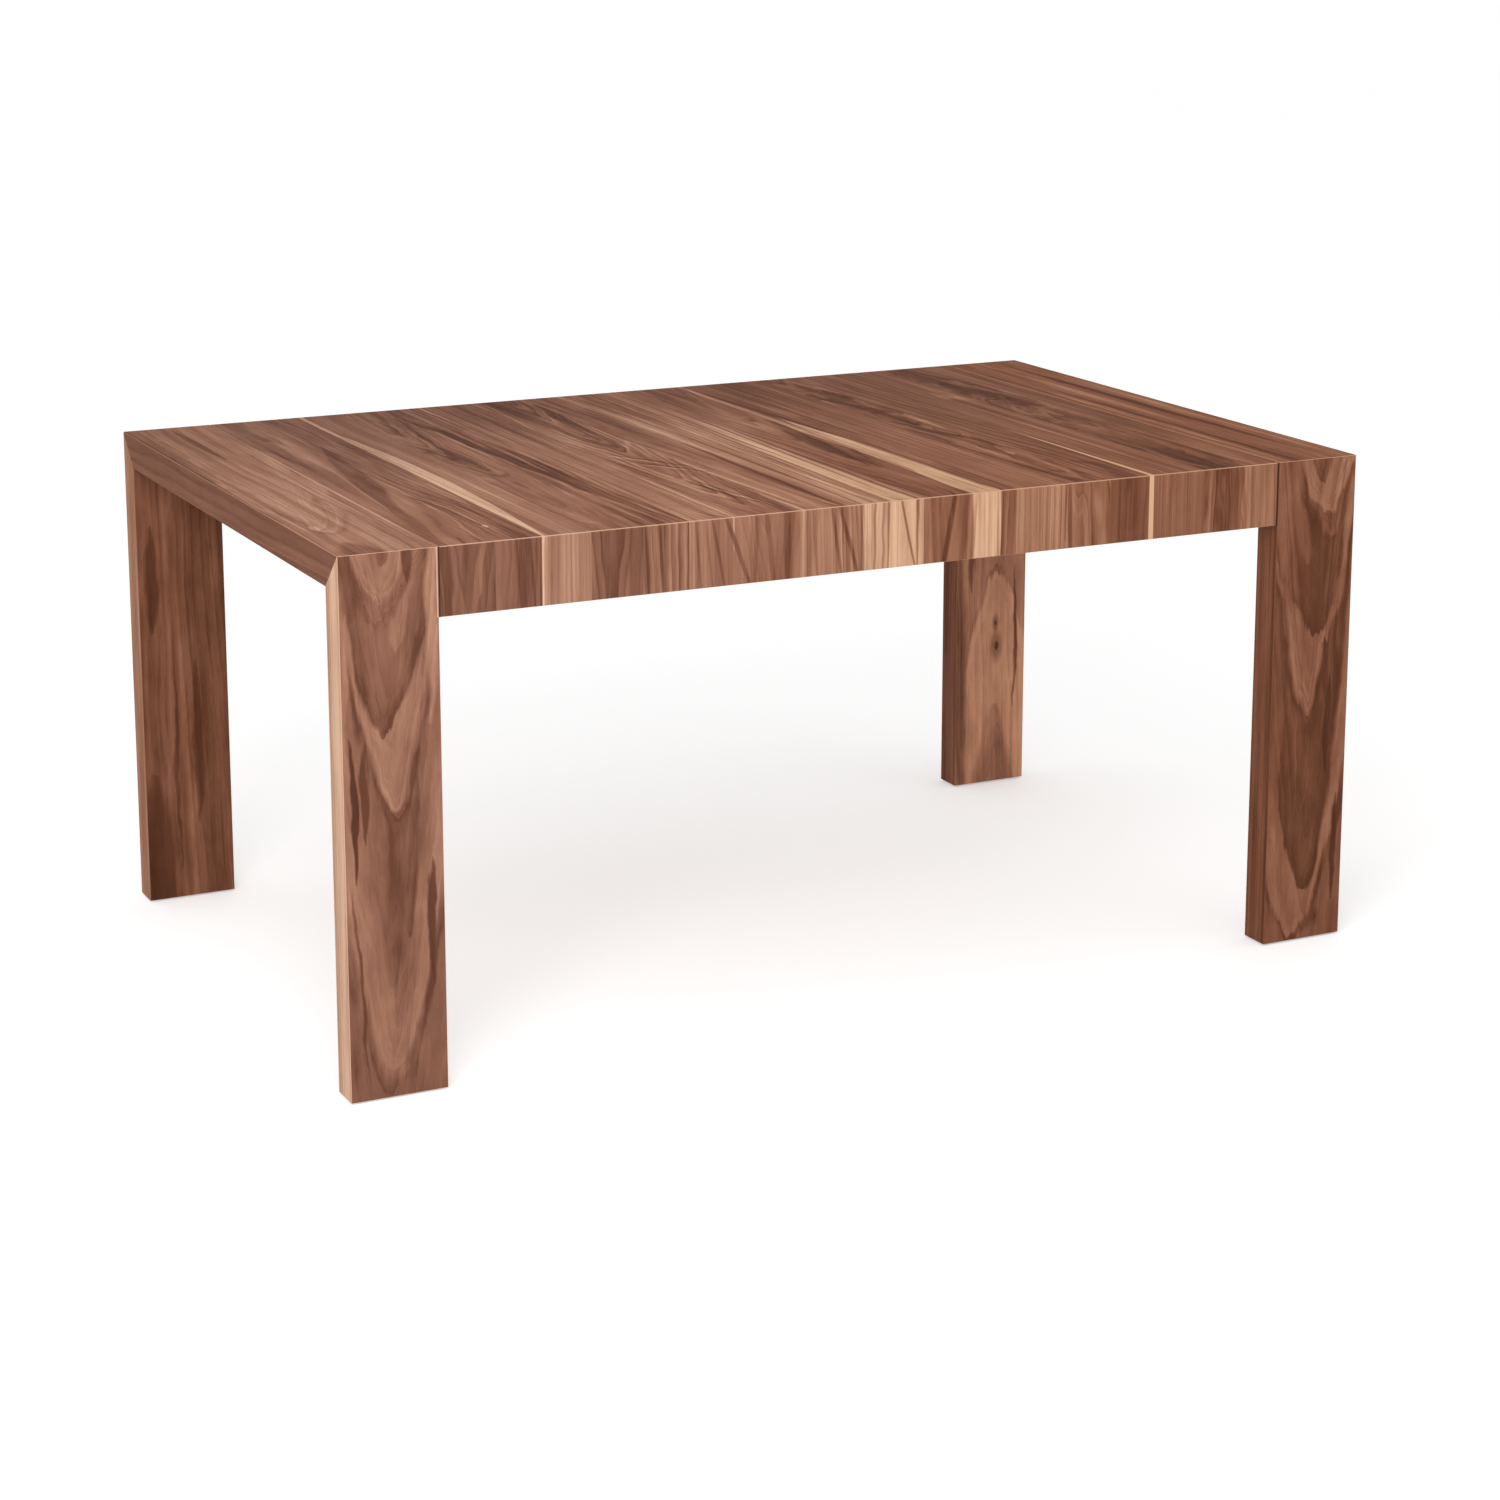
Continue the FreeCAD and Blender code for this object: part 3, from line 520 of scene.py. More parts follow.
def addTongues(tone, across, along, patches, tongues):
    # patches makes some stretches of an outline fainter than others
    for row in tongues.values():
        tongue = {**tongueDefaults, **dict(zip(tongueLabels, row))}
        shape = {label: tongue[label] for label in tongueShape}
        found = useGroup(
            tone.tree, tongueGroup, across=across, along=along, fade=tongueLook["fade"], **shape
        )
        rim = patches * (tongue["tone"] - tongue["inner"]) + tongue["inner"]
        bandPlace = found["depth"] * tongueLook["bandCount"] + tongue["tip"] * tongueLook["bandSeed"]
        bands = lineNoise(bandPlace, detail=2) * tongueLook["bandShare"]
        tone = mix(tone, mix(rim, tongue["inner"], found["depth"]) + bands, found["mask"])
    return tone


def findKnots(across, along, knots):
    # The knots of one face: their dark shade, and the sideways push on the grain round them
    shade, push = 0.0, 0.0
    for placeAcross, placeAlong, radius in knots:
        found = useGroup(
            across.tree, knotGroup, across=across, along=along, placeAcross=placeAcross,
            placeAlong=placeAlong, radius=radius,
        )
        shade = found["mask"] + shade
        push = found["push"] + push
    return shade, push


def layVeneer(tree, across, along, values):
    figure = {label: values[label] for label in figureLabels}
    return useGroup(tree, sawnGroup, across=across, along=along, **figure)


lacquer = {"chamferLightShare": 0.8, "specular": 0.03, "roughness": 0.68, "shine": -0.06, "relief": 0.00012}


def walnut(tree, shader, tone, height, normal, chamferLightTone, warmth, shades=coolShades, gapShade=None):
    # warmth is 0 for the cooler brown and 1 for the redder one. Where two sections meet, a dark line is
    # painted as the shade that falls in the narrow gap between them.
    edge = useGroup(tree, edgeGroup, normalX=normal[0], normalY=normal[1], normalZ=normal[2])["mask"]
    # The small chamfers get a painted highlight: their tone moves towards a lighter one
    tone = mix(tone, chamferLightTone, edge * lacquer["chamferLightShare"])
    cool = colourRamp(tone, list(shades.items()))
    warm = colourRamp(tone, list(warmShades.items()))
    colour = blendColours(tree, warmth, cool, warm)
    if gapShade:
        colour = blendColours(tree, gapShade, colour, gapShadeColour)
    shader.inputs["Specular IOR Level"].default_value = lacquer["specular"]
    roughness = height * lacquer["shine"] + lacquer["roughness"]
    finishShader(tree, shader, colour, roughness, height, lacquer["relief"])


# Centre section: one run of sheets across the top and down both aprons

centreStrips = [
    (0.215, 0.5, 0.5, 0.03, 0.185, 0.05, 0.01, 0.05, 3, -0.2, -0.02),
    (0.286, 0.47, 0.75, 0.01, 0.33, 0.03, 0, 0.03, 7, -0.06, -0.03),
    (0.354, 0.62, 0.4, 0.01, 0.42, 0.02, 0.01, 0.01, 11, 0.01, -0.14),
    (0.43, 0.51, 0.7, 0.014, 0.385, 0.06, 0.02, 0.04, 15, -0.16, -0.07),
    (0.495, 0.53, 0.95, 0.01, 0.52, 0.01, 0.01, 0.02, 19, 0.01, -0.08),
    (0.575, 0.63, 0.6, 0.006, 0.7, 0, 0, 0.005, 23, -0.1, -0.2),
    (0.665, 0.51, 0.9, 0.01, 0.628, 0.09, 0.01, 0.03, 27, 0.01, -0.13),
    (0.768, 0.63, 0.75, 0.009, 0.86, 0.04, 0, 0.015, 31, -0.04, -0.19),
    (0.812, 0.75, 0.65, 0.007, 0.9, 0, 0, 0.005, 35, 0.07, -0.26),
    (0.858, 0.79, 0.6, 0.012, 0.9, 0.02, 0, 0.01, 39, 0.06, -0.26),
    (0.946, 0.49, 0.75, 0.015, 0.918, 0.07, 0.01, 0.03, 43, 0.01, -0.09),
    (0.986, 0.49, 0.6, 0.008, 1.08, 0.01, 0, 0.01, 47, -0.04, -0.08),
    (1.012, 0.36, 0.95, 0.007, 1.08, 0.02, 0, 0.02, 51, 0.03, -0.05),
    (1.096, 0.54, 0.45, 0.006, 1.2, 0, 0, 0.005, 55, 0.1, -0.17),
    (1.165, 0.51, 1.0, 0.018, 1.15, 0.05, 0.02, 0.08, 59, 0.02, -0.14),
    (1.24, 0.42, 0.6, 0.014, 1.29, 0.03, 0, 0.02, 63, -0.07, -0.02),
    (1.326, 0.46, 0.45, 0.006, 1.42, 0, 0, 0.005, 67, 0.01, -0.06),
    (1.408, 0.46, 1.0, 0.02, 1.385, 0.03, 0.02, 0.1, 71, 0.16, -0.04),
    (1.6, 0.49, 0.5, 0.012, 1.5, 0.02, 0, 0.01, 75, 0.07, 0),
]
centreStreaks = {
    "apronLineOne": (0.26, 0.146, -0.01, 0.003, -0.56, 0.08, 0.003),
    "apronLineTwo": (0.24, 0.214, 0.07, 0.003, -0.56, 0.08, 0.003),
    "farVein": (0.32, 0.15, 0.02, 0.006, 0.34, 0.24, 0.005, 0.01),
    "farLight": (0.62, 0.186, 0, 0.018, 0.26, 0.22, 0.02, 0.02),
    "flameUpper": (0.42, 0.158, 0.03, 0.01, 0.32, 0.26, 0.01, 0.02),
    "darkFlame": (0.33, 0.204, 0.115, 0.019, -0.12, 0.37, 0.007, 0.014),
    "flameLight": (0.63, 0.222, 0.115, 0.013, -0.26, 0.15, 0.01, 0.014),
    "flameRim": (0.66, 0.181, 0.08, 0.0022, -0.12, 0.2, 0.002, 0.01),
    "smallFlash": (0.84, 0.241, 0, 0.004, -0.407, 0.01, 0.003),
    "pinkLine": (0.66, 0.222, 0, 0.002, -0.1, 0.24, 0.002, 0.01),
    "darkLines": (0.3, 0.262, 0, 0.008, -0.55, 0.35, 0.005, 0.02),
    "paleLens": (0.97, 0.2855, 0, 0.0125, -0.08, 0.452, 0.002, 0.004, 1.0, 0.85),
    "paleThread": (0.95, 0.2862, 0, 0.0014, -0.6, 0.5, 0.001, 0, 1.0),
    "threadShade": (0.24, 0.2825, 0, 0.0016, -0.6, 0.14, 0.0014),
    "paleTail": (0.86, 0.2855, 0, 0.0045, 0.45, 0.55, 0.002, 0, 1.0, 0.3),
    "lightHair": (0.72, 0.331, 0, 0.002, -0.14, 0.2, 0.002, 0.01),
    "secondHair": (0.7, 0.356, 0, 0.002, -0.2, 0.22, 0.002, 0.01),
    "arch": (0.36, 0.388, 0.06, 0.014, 0.04, 0.16, 0.012, 0.03),
    "darkVein": (0.26, 0.452, -0.05, 0.009, 0.02, 0.5, 0.008, 0.035),
    "veinLight": (0.66, 0.441, -0.05, 0.003, -0.02, 0.4, 0.003, 0.03),
    "secondVein": (0.3, 0.478, 0, 0.008, -0.16, 0.34, 0.006, 0.02),
    "lightLine": (0.84, 0.567, 0, 0.0022, -0.3, 0.26, 0.002, 0.004),
    "farLightLine": (0.74, 0.56, 0.07, 0.002, 0.36, 0.14, 0.002),
    "flashDark": (0.3, 0.585, -0.6, 0.008, -0.08, 0.07, 0.006, 0.05),
    "flash": (0.76, 0.578, -0.6, 0.006, -0.06, 0.06, 0.004, 0.05),
    "flashUnder": (0.31, 0.556, -0.6, 0.007, -0.14, 0.06, 0.006, 0.06),
    "flashLight": (0.8, 0.545, -0.62, 0.004, -0.13, 0.05, 0.004, 0.06),
    "flashArm": (0.66, 0.64, 0.35, 0.006, 0.07, 0.07, 0.008, 0.06),
    "lowerFlame": (0.26, 0.562, -0.18, 0.006, -0.34, 0.13, 0.006, 0.05),
    "lowerFlameTwo": (0.28, 0.584, -0.14, 0.005, -0.36, 0.12, 0.005, 0.05),
    "lowerFlameLight": (0.72, 0.574, -0.16, 0.004, -0.35, 0.12, 0.004, 0.05),
    "stripeDark": (0.34, 0.736, 0, 0.005, -0.26, 0.3, 0.004, 0.01),
    "boundary": (0.34, 0.7645, 0, 0.003, -0.24, 0.44, 0.003, 0.004),
    "lightBand": (0.88, 0.831, 0.012, 0.018, -0.5, 0.85, 0.012, 0.01, 0.6),
    "bandThread": (0.4, 0.842, 0.02, 0.002, -0.05, 0.4, 0.002, 0.006),
    "bandThreadTwo": (0.44, 0.824, 0, 0.002, 0.06, 0.3, 0.002, 0.006),
    "laceLine": (0.58, 0.785, 0, 0.002, -0.3, 0.5, 0.002, 0.02),
    "laceLineTwo": (0.56, 0.798, 0, 0.0025, -0.36, 0.44, 0.002, 0.02),
    "bandLine": (0.46, 0.812, 0.01, 0.003, -0.22, 0.44, 0.003, 0.01),
    "bandEdge": (0.38, 0.853, 0, 0.004, -0.26, 0.36, 0.004, 0.01),
    "brownLeaf": (0.6, 0.903, 0.04, 0.013, 0.18, 0.16, 0.014, 0.02),
    "brownFlame": (0.22, 0.93, 0.06, 0.016, -0.06, 0.22, 0.012, 0.03),
    "sapStrip": (0.9, 0.9665, 0.016, 0.023, -0.6, 0.84, 0.004, 0.004, 0.95),
    "sapThread": (0.8, 0.95, 0, 0.006, 0.18, 0.46, 0.003, 0.004),
    "bentDark": (0.26, 0.979, -0.05, 0.006, 0.18, 0.26, 0.004, 0.006),
    "nearDark": (0.28, 0.998, 0, 0.007, -0.22, 0.3, 0.005, 0.01),
    "threadDark": (0.36, 1.096, 0, 0.0025, -0.2, 0.4, 0.003, 0.01),
    "wavyStain": (0.31, 1.128, 0.04, 0.024, 0.22, 0.24, 0.016, 0.1),
    "wavyFlame": (0.26, 1.122, -0.2, 0.007, -0.1, 0.16, 0.006, 0.04),
    "nearCurl": (0.26, 1.2, 0, 0.02, -0.46, 0.12, 0.016, 0.12),
    "rightHairOne": (0.6, 1.256, 0, 0.002, -0.1, 0.4, 0.002, 0.004),
    "rightHairTwo": (0.62, 1.29, 0, 0.0025, -0.16, 0.36, 0.002, 0.004),
    "rightHairThree": (0.6, 1.318, 0, 0.002, 0.04, 0.4, 0.002, 0.006),
    "nearWedge": (0.58, 1.15, 0, 0.016, -0.44, 0.2, 0.012, 0.03),
    "paleLine": (1.2, 1.2395, 0, 0.004, -0.66, 0.58, 0.0014, 0, 1.0),
    "redLine": (0.36, 1.301, 0, 0.003, -0.1, 0.5, 0.003, 0.006),
    "curlDark": (0.31, 1.366, 0.02, 0.024, 0.27, 0.09, 0.014, 0.16),
    "curlLower": (0.31, 1.372, 0.04, 0.022, 0.15, 0.09, 0.014, 0.16),
    "curlLight": (0.66, 1.376, -0.3, 0.008, 0.21, 0.06, 0.008, 0.14),
    "nearStain": (0.31, 1.365, 0, 0.018, -0.4, 0.11, 0.02, 0.05),
    "nearShade": (0.44, 1.372, 0, 0.03, -0.56, 0.12, 0.03, 0.05),
    "lightLeaf": (0.58, 1.425, 0, 0.016, -0.38, 0.12, 0.014, 0.03),
    "endBlush": (0.6, 1.445, 0, 0.016, -0.57, 0.06, 0.016, 0.03),
}
# Lines on the front apron: places at its upper and lower edge, half width and tone
apronLines = {
    "bentLine": (0.1755, 0.1630, 0.0030, 0.24),
    "leftShade": (0.2010, 0.2050, 0.0080, 0.36),
    "threadOne": (0.2490, 0.2550, 0.0018, 0.28),
    "threadTwo": (0.2680, 0.2740, 0.0022, 0.24),
    "brownOne": (0.3640, 0.3620, 0.0050, 0.34),
    "brownTwo": (0.4330, 0.4380, 0.0050, 0.34),
    "ovalSide": (0.4550, 0.4630, 0.0026, 0.32),
    "combOne": (0.5105, 0.5180, 0.0018, 0.36),
    "combTwo": (0.5255, 0.5350, 0.0018, 0.40),
    "combThree": (0.5355, 0.5530, 0.0022, 0.34),
    "combFour": (0.5555, 0.5905, 0.0034, 0.30),
    "curlLine": (0.6020, 0.5990, 0.0030, 0.36),
    "curlLineTwo": (0.6170, 0.6280, 0.0040, 0.36),
    "curlBand": (0.6480, 0.6520, 0.0060, 0.38),
    "laceOne": (0.6880, 0.6955, 0.0020, 0.42),
    "laceTwo": (0.7180, 0.7330, 0.0026, 0.38),
    "laceThree": (0.7305, 0.7580, 0.0032, 0.32),
    "bandCurve": (0.8275, 0.8485, 0.0018, 0.46),
    "brownLine": (0.9125, 0.8950, 0.0042, 0.24),
    "sapRight": (0.9830, 0.9840, 0.0050, 0.90),
    "sapLeft": (0.9380, 0.9385, 0.0044, 0.52),
    "rightLine": (1.1010, 1.1040, 0.0034, 0.32),
    "endLine": (1.3960, 1.4030, 0.0036, 0.36),
}
apronStretch = {"middle": -0.5475, "reach": 0.10, "soft": 0.003, "wander": 0.006}
centreKnots = [(0.366, 0.13, 0.006), (1.352, 0.24, 0.010), (1.372, 0.10, 0.008), (0.918, 0.16, 0.004)]
# Towards the far side the sheets grow darker, partly their own tone and partly painted shade where less
# light falls on the top, and to the right and the near side they grow redder
farSide = (-0.15, 0.42)
centreLook = {
    "lift": 0.03,
    # The aprons a little lighter than the top: partly their own tone, partly painted light where the lamp
    # falls on them
    "apronToneAndLight": 0.02,
    "apronCalm": 0.25,
    "knotTone": 0.2,
    "knotShare": 0.7,
    # The painted highlight along the long top edge
    "highlightWidth": 0.0016,
    "paintedLightTone": 1.0,
    "highlightShare": 0.8,
    # Tone of the painted highlight on the chamfers
    "chamferLightTone": 0.86,
    # Width and strength of the painted shade in the gaps at the section's ends
    "leftSeam": 0.0026,
    "rightSeam": 0.0042,
    "levelSeamShare": 0.12,
    "uprightSeamShare": 0.85,
    "rightSide": (0.2, 1.1),
    "rightWarmth": 0.6,
    "nearSide": (0.35, -0.45),
    "nearWarmth": 0.5,
    "apronWarmth": 0.8,
}
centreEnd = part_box("centre_top")[1].x
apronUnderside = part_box("front_apron")[0].z


def addApronLines():
    for name, (upper, lower, half, tone) in apronLines.items():
        lean = (upper - lower) / (topLevel - apronUnderside)
        place = upper + lean * tableWidth / 2
        centreStreaks[name] = (tone, place, lean, half, *apronStretch.values())


def makeCentreVeneer():
    material, tree, shader, place, normal = newMaterial("centre_walnut")
    look = centreLook
    upright = facing(normal[1])
    drop = (topLevel - place[2]) * upright
    along = place[1] + drop * place[1].maths("SIGN")
    across = place[0] + tableLength / 2
    knotShade, knotPush = findKnots(across, along, centreKnots)
    values = lookUp(across, [dict(zip(sheetLabels, row)) for row in centreStrips])
    bent = across + knotPush
    sheet = layVeneer(tree, bent, along, values)
    tone = values["tone"] + values["apron"] * upright
    tone = addStreaks(tone, bent, along, streakSeeds["centre"], centreStreaks)
    right = rise(across, *look["rightSide"])
    # far is where the top grows darker towards its far side, partly painted shade
    far = rise(place[1], *farSide) * (1.0 - upright)
    detail = sheet["detail"] * (1.0 - upright * look["apronCalm"])
    tone = tone + values["fade"] * far + detail + upright * look["apronToneAndLight"] + look["lift"]
    tone = mix(tone, look["knotTone"], smaller(knotShade, 1.0) * look["knotShare"])
    # A painted highlight along the long top edge, on the top and on the aprons
    fromSide = tableWidth / 2 - size(place[1])
    fromTop = topLevel - place[2]
    rim = nearEdge(mix(fromSide, fromTop, upright), look["highlightWidth"])
    tone = mix(tone, look["paintedLightTone"], rim * look["highlightShare"])
    # Painted shade in the narrow gap at the section's ends: wider at the right end, and much stronger on
    # the aprons than on the top
    fromEnd = centreEnd - size(place[0])
    gapShade = nearEdge(fromEnd, mix(look["leftSeam"], look["rightSeam"], over(place[0], 0.0)))
    gapShade = gapShade * mix(look["levelSeamShare"], look["uprightSeamShare"], upright)
    topWarmth = right * look["rightWarmth"] + rise(place[1], *look["nearSide"]) * look["nearWarmth"]
    warmth = larger(mix(topWarmth, right * look["apronWarmth"], upright), 0.0)
    walnut(tree, shader, tone, sheet["height"], normal, look["chamferLightTone"], warmth, gapShade=gapShade)
    return material


# End frames. Across runs from a leg's left side as seen from the front, and along is the height.

legFaces = {
    "outer": dict(contrast=0.5, spacing=0.011, heart=0.066, rake=0.106, blunt=0.015, wander=0.02, seed=4),
    "inner": dict(contrast=0.4, spacing=0.014, heart=0.20, rake=0.02, blunt=0.01, wander=0.02, seed=14),
    "edge": dict(contrast=0.5, spacing=0.008, heart=0.30, wander=0.004, seed=24),
}
# Tongues from the lowest tip to the highest, each painted over the ones before it
frontTongues = {
    "left": {
        "footLine": (0.28, 0.56, 0.008, 0.062, 0.046, 0.09),
        "foot": (0.64, 0.6, 0.04, 0.068, 0.034, 0.08),
        "footShade": (0.5, 0.46, 0.1, 0.072, 0.03, 0.12, 0, 0.02),
        "heartTail": (0.36, 0.42, 0.137, 0.068, 0.007, 0.1),
        "lowerDark": (0.27, 0.36, 0.218, 0.085, 0.022, 0.12, -0.03),
        "middleLine": (0.28, 0.48, 0.378, 0.073, 0.034, 0.075),
        "middle": (0.6, 0.56, 0.398, 0.07, 0.03, 0.07),
        "upperRim": (0.64, 0.58, 0.488, 0.056, 0.032, 0.06),
        "upperDark": (0.27, 0.44, 0.505, 0.058, 0.034, 0.06, 0.05),
        "upperLight": (0.6, 0.56, 0.622, 0.073, 0.016, 0.06, 0.12),
        "topDark": (0.32, 0.5, 0.655, 0.048, 0.024, 0.02, 0.2),
        "top": (0.64, 0.6, 0.687, 0.055, 0.024, 0.03),
        "crown": (0.38, 0.44, 0.733, 0.058, 0.009, 0.02),
    },
    "right": {
        "footLine": (0.26, 0.44, 0.001, 0.052, 0.042, 0.06),
        "foot": (0.62, 0.54, 0.008, 0.05, 0.036, 0.06),
        "lowerDark": (0.22, 0.31, 0.077, 0.067, 0.036, 0.09, -0.05),
        "lowerHeart": (0.33, 0.3, 0.19, 0.06, 0.02, 0.12, 0, 0.02),
        "middleLine": (0.22, 0.34, 0.328, 0.061, 0.023, 0.05),
        "middle": (0.58, 0.52, 0.347, 0.061, 0.018, 0.05),
        "upperRim": (0.56, 0.46, 0.466, 0.083, 0.054, 0.09, -0.16),
        "upperDark": (0.2, 0.32, 0.479, 0.082, 0.048, 0.09, -0.18),
        "upperLight": (0.46, 0.44, 0.585, 0.055, 0.012, 0.06, -0.15, 0.01),
        "topLine": (0.26, 0.38, 0.628, 0.092, 0.036, 0.045, -0.12),
        "topShade": (0.44, 0.4, 0.637, 0.094, 0.024, 0.035, -0.1),
        "top": (0.66, 0.6, 0.668, 0.088, 0.032, 0.035),
        "crown": (0.38, 0.44, 0.715, 0.08, 0.014, 0.02),
    },
}
# The rear right leg's inner face has its tongues upside down, so their heights are below the floor. Their
# tones are set light, partly as painted light, since this face gets little of the lamp
rearTongues = {
    "halo": (0.62, 0.74, -0.4, 0.081, 0.046, 0.1, 0, 0.006),
    "lightPeak": (0.98, 0.9, -0.388, 0.082, 0.04, 0.08, 0, 0.01),
    "lowArch": (0.7, 0.76, -0.145, 0.076, 0.03, 0.08, 0, 0.016),
    "footArch": (0.56, 0.66, -0.105, 0.08, 0.03, 0.08, 0, 0.014),
}
legStreaks = {
    "front_left": {
        "leftDark": (0.08, 0.0175, 0, 0.0055, 0.41, 0.1),
        "leftSecond": (0.18, 0.032, 0, 0.005, 0.425, 0.075),
        "leftOutline": (0.26, 0.0271, -0.057, 0.0025, 0.16, 0.15),
        "rightOutline": (0.3, 0.0902, 0.16, 0.002, 0.14, 0.12),
        "heartShade": (0.36, 0.07, 0, 0.016, 0.27, 0.09, 0.02),
        "rightPale": (0.74, 0.128, 0, 0.009, 0.66, 0.15, 0.008),
        "rightDark": (0.18, 0.121, 0, 0.006, 0.24, 0.09),
        "topSpot": (0.24, 0.096, 0, 0.009, 0.74, 0.035),
        "topLeft": (0.34, 0.016, 0, 0.014, 0.69, 0.045, 0.012),
        "leftPale": (0.66, 0.006, 0, 0.006, 0.57, 0.1, 0.006),
    },
    "front_right": {
        "rightDark": (0.06, 0.104, 0, 0.007, 0.34, 0.08),
        "rightSecond": (0.16, 0.115, 0, 0.004, 0.43, 0.1),
        "innerDark": (0.16, 0.096, 0, 0.005, 0.42, 0.06),
        "edgeDark": (0.14, 0.121, 0, 0.005, 0.15, 0.09),
        "leftPale": (0.5, 0.013, 0, 0.004, 0.24, 0.12),
        "leftLight": (0.44, 0.009, 0, 0.011, 0.37, 0.19, 0.014),
        "upperBlush": (0.46, 0.028, 0, 0.014, 0.6, 0.08, 0.02),
        "topLeft": (0.52, 0.014, 0, 0.026, 0.71, 0.13, 0.016),
    },
    "rear_left": {
        "footDark": (0.14, 0.015, 0, 0.03, 0.03, 0.17, 0.03),
        "upperDark": (0.14, 0.018, 0, 0.01, 0.52, 0.09, 0.01),
        "longLight": (0.5, 0.045, 0, 0.007, 0.56, 0.24, 0.008),
        "longRed": (0.18, 0.052, 0, 0.003, 0.2, 0.16),
        "footLight": (0.49, 0.078, 0, 0.012, 0.06, 0.17, 0.012),
        "middleDark": (0.16, 0.085, 0, 0.01, 0.26, 0.13, 0.01),
        "rightLight": (0.46, 0.118, 0, 0.006, 0.4, 0.22, 0.006),
    },
    "rear_right": {
        "leftBrown": (0.48, 0.008, 0, 0.012, 0.2, 0.26, 0.012),
        "rightLine": (0.38, 0.122, -0.02, 0.004, 0.27, 0.13),
        "upperDark": (0.34, 0.03, 0, 0.006, 0.45, 0.1, 0.006),
    },
}
# edge is the tone of a leg's narrow faces: partly the veneer's own tone, partly painted light, lighter on
# the left legs, whose outer narrow faces look towards the lamp, and darker on the right legs. corner is the
# painted light on the leg's side chamfers.
legLooks = {
    "front_left": dict(edge=0.90, inner=0.42, outer=0.45, corner=1.0, warmth=0.1, knots=[], glint=0.8),
    "front_right": dict(
        edge=0.38, inner=0.40, outer=0.48, corner=0.42, warmth=0.8, knots=[(0.093, 0.035, 0.0030)],
    ),
    "rear_left": dict(edge=0.70, inner=0.42, outer=0.45, corner=0.6, warmth=0.7, knots=[]),
    # The rear right leg's inner face is set light, partly painted light on a face that gets little of the
    # lamp
    "rear_right": dict(
        edge=0.45, inner=0.76, outer=0.45, corner=0.6, warmth=0.2,
        knots=[(0.0785, 0.292, 0.0030), (0.081, 0.250, 0.0052)],
    ),
}
legFigure = {
    "bend": 0.030,
    "slip": 0.06,
    "feather": 0.022,
    "patches": (-0.16, 0.08),
    "clouds": 0.38,
    "outerCalm": 0.6,
    "knotTone": 0.12,
    "knotShare": 0.8,
    # Painted highlight on the leg chamfers that face up
    "topChamferHighlight": 1.05,
    "risesAbove": 0.3,
    "glint": (0.0034, 0.0020),
}


def makeLegVeneer(row, side):
    name = f"leg_{row}_{side}"
    looks = legLooks[f"{row}_{side}"]
    low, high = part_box(name)
    material, tree, shader, place, normal = newMaterial(name + "_walnut")
    facesOut = over(normal[1] * rows[row], 0.0)
    broadFace = facing(normal[1])
    across = mix(place[1] - low.y, place[0] - low.x, broadFace)
    along = place[2]
    faces = [dict(figure, tone=looks[face]) for face, figure in legFaces.items()]
    outer, inner, edge = range(len(faces))
    values = lookUpFace(mix(edge, mix(inner, outer, facesOut), broadFace), faces)
    seed = sides[side] * 2 + rows[row]
    values["seed"] = values["seed"] + seed
    sheet = layVeneer(tree, across, along, values)
    bend, slip, feather, clouds, patches = [
        woodNoise(field, across, along, seed)
        for field in ("legBend", "legSlip", "legFeather", "legClouds", "legPatches")
    ]
    patches = rise(patches, *legFigure["patches"])
    knotShade, knotPush = findKnots(across, along, looks["knots"])
    strayAcross = across + bend * legFigure["bend"] + knotPush
    strayAlong = along + slip * legFigure["slip"] + feather * legFigure["feather"]
    figure = addTongues(values["tone"], strayAcross, strayAlong, patches, frontTongues[side])
    figure = addStreaks(figure, strayAcross, strayAlong, seed, legStreaks["front_" + side])
    inside = values["tone"]
    if name == "leg_rear_right":
        inside = addTongues(inside, strayAcross, strayAlong * -1, patches, rearTongues)
    if row == "rear":
        inside = addStreaks(inside, strayAcross, strayAlong, seed, legStreaks[f"rear_{side}"])
    tone = mix(values["tone"], mix(inside, figure, facesOut) + clouds * legFigure["clouds"], broadFace)
    tone = tone + sheet["detail"] * (1.0 - broadFace * facesOut * legFigure["outerCalm"])
    if looks["knots"]:
        shown = facesOut if row == "front" else facesOut * -1 + 1
        share = smaller(knotShade, 1.0) * shown * broadFace * legFigure["knotShare"]
        tone = mix(tone, legFigure["knotTone"], share)
    if "glint" in looks:
        # The leg's edge catches the light where it meets the apron
        fromSeam = size(place[0]) - min(abs(low.x), abs(high.x))
        glint = rise(fromSeam, *legFigure["glint"]) * over(along, apronUnderside) * facesOut * broadFace
        tone = mix(tone, 1.0, glint * looks["glint"])
    shades = rosyShades if name == "leg_rear_right" else coolShades
    # Painted light on the leg's chamfers: a highlight on those that face up, and on the others a tone given
    # per leg
    paintedLightTone = mix(looks["corner"], legFigure["topChamferHighlight"], over(normal[2], legFigure["risesAbove"]))
    walnut(tree, shader, tone, sheet["height"], normal, paintedLightTone, looks["warmth"], shades)
    return material


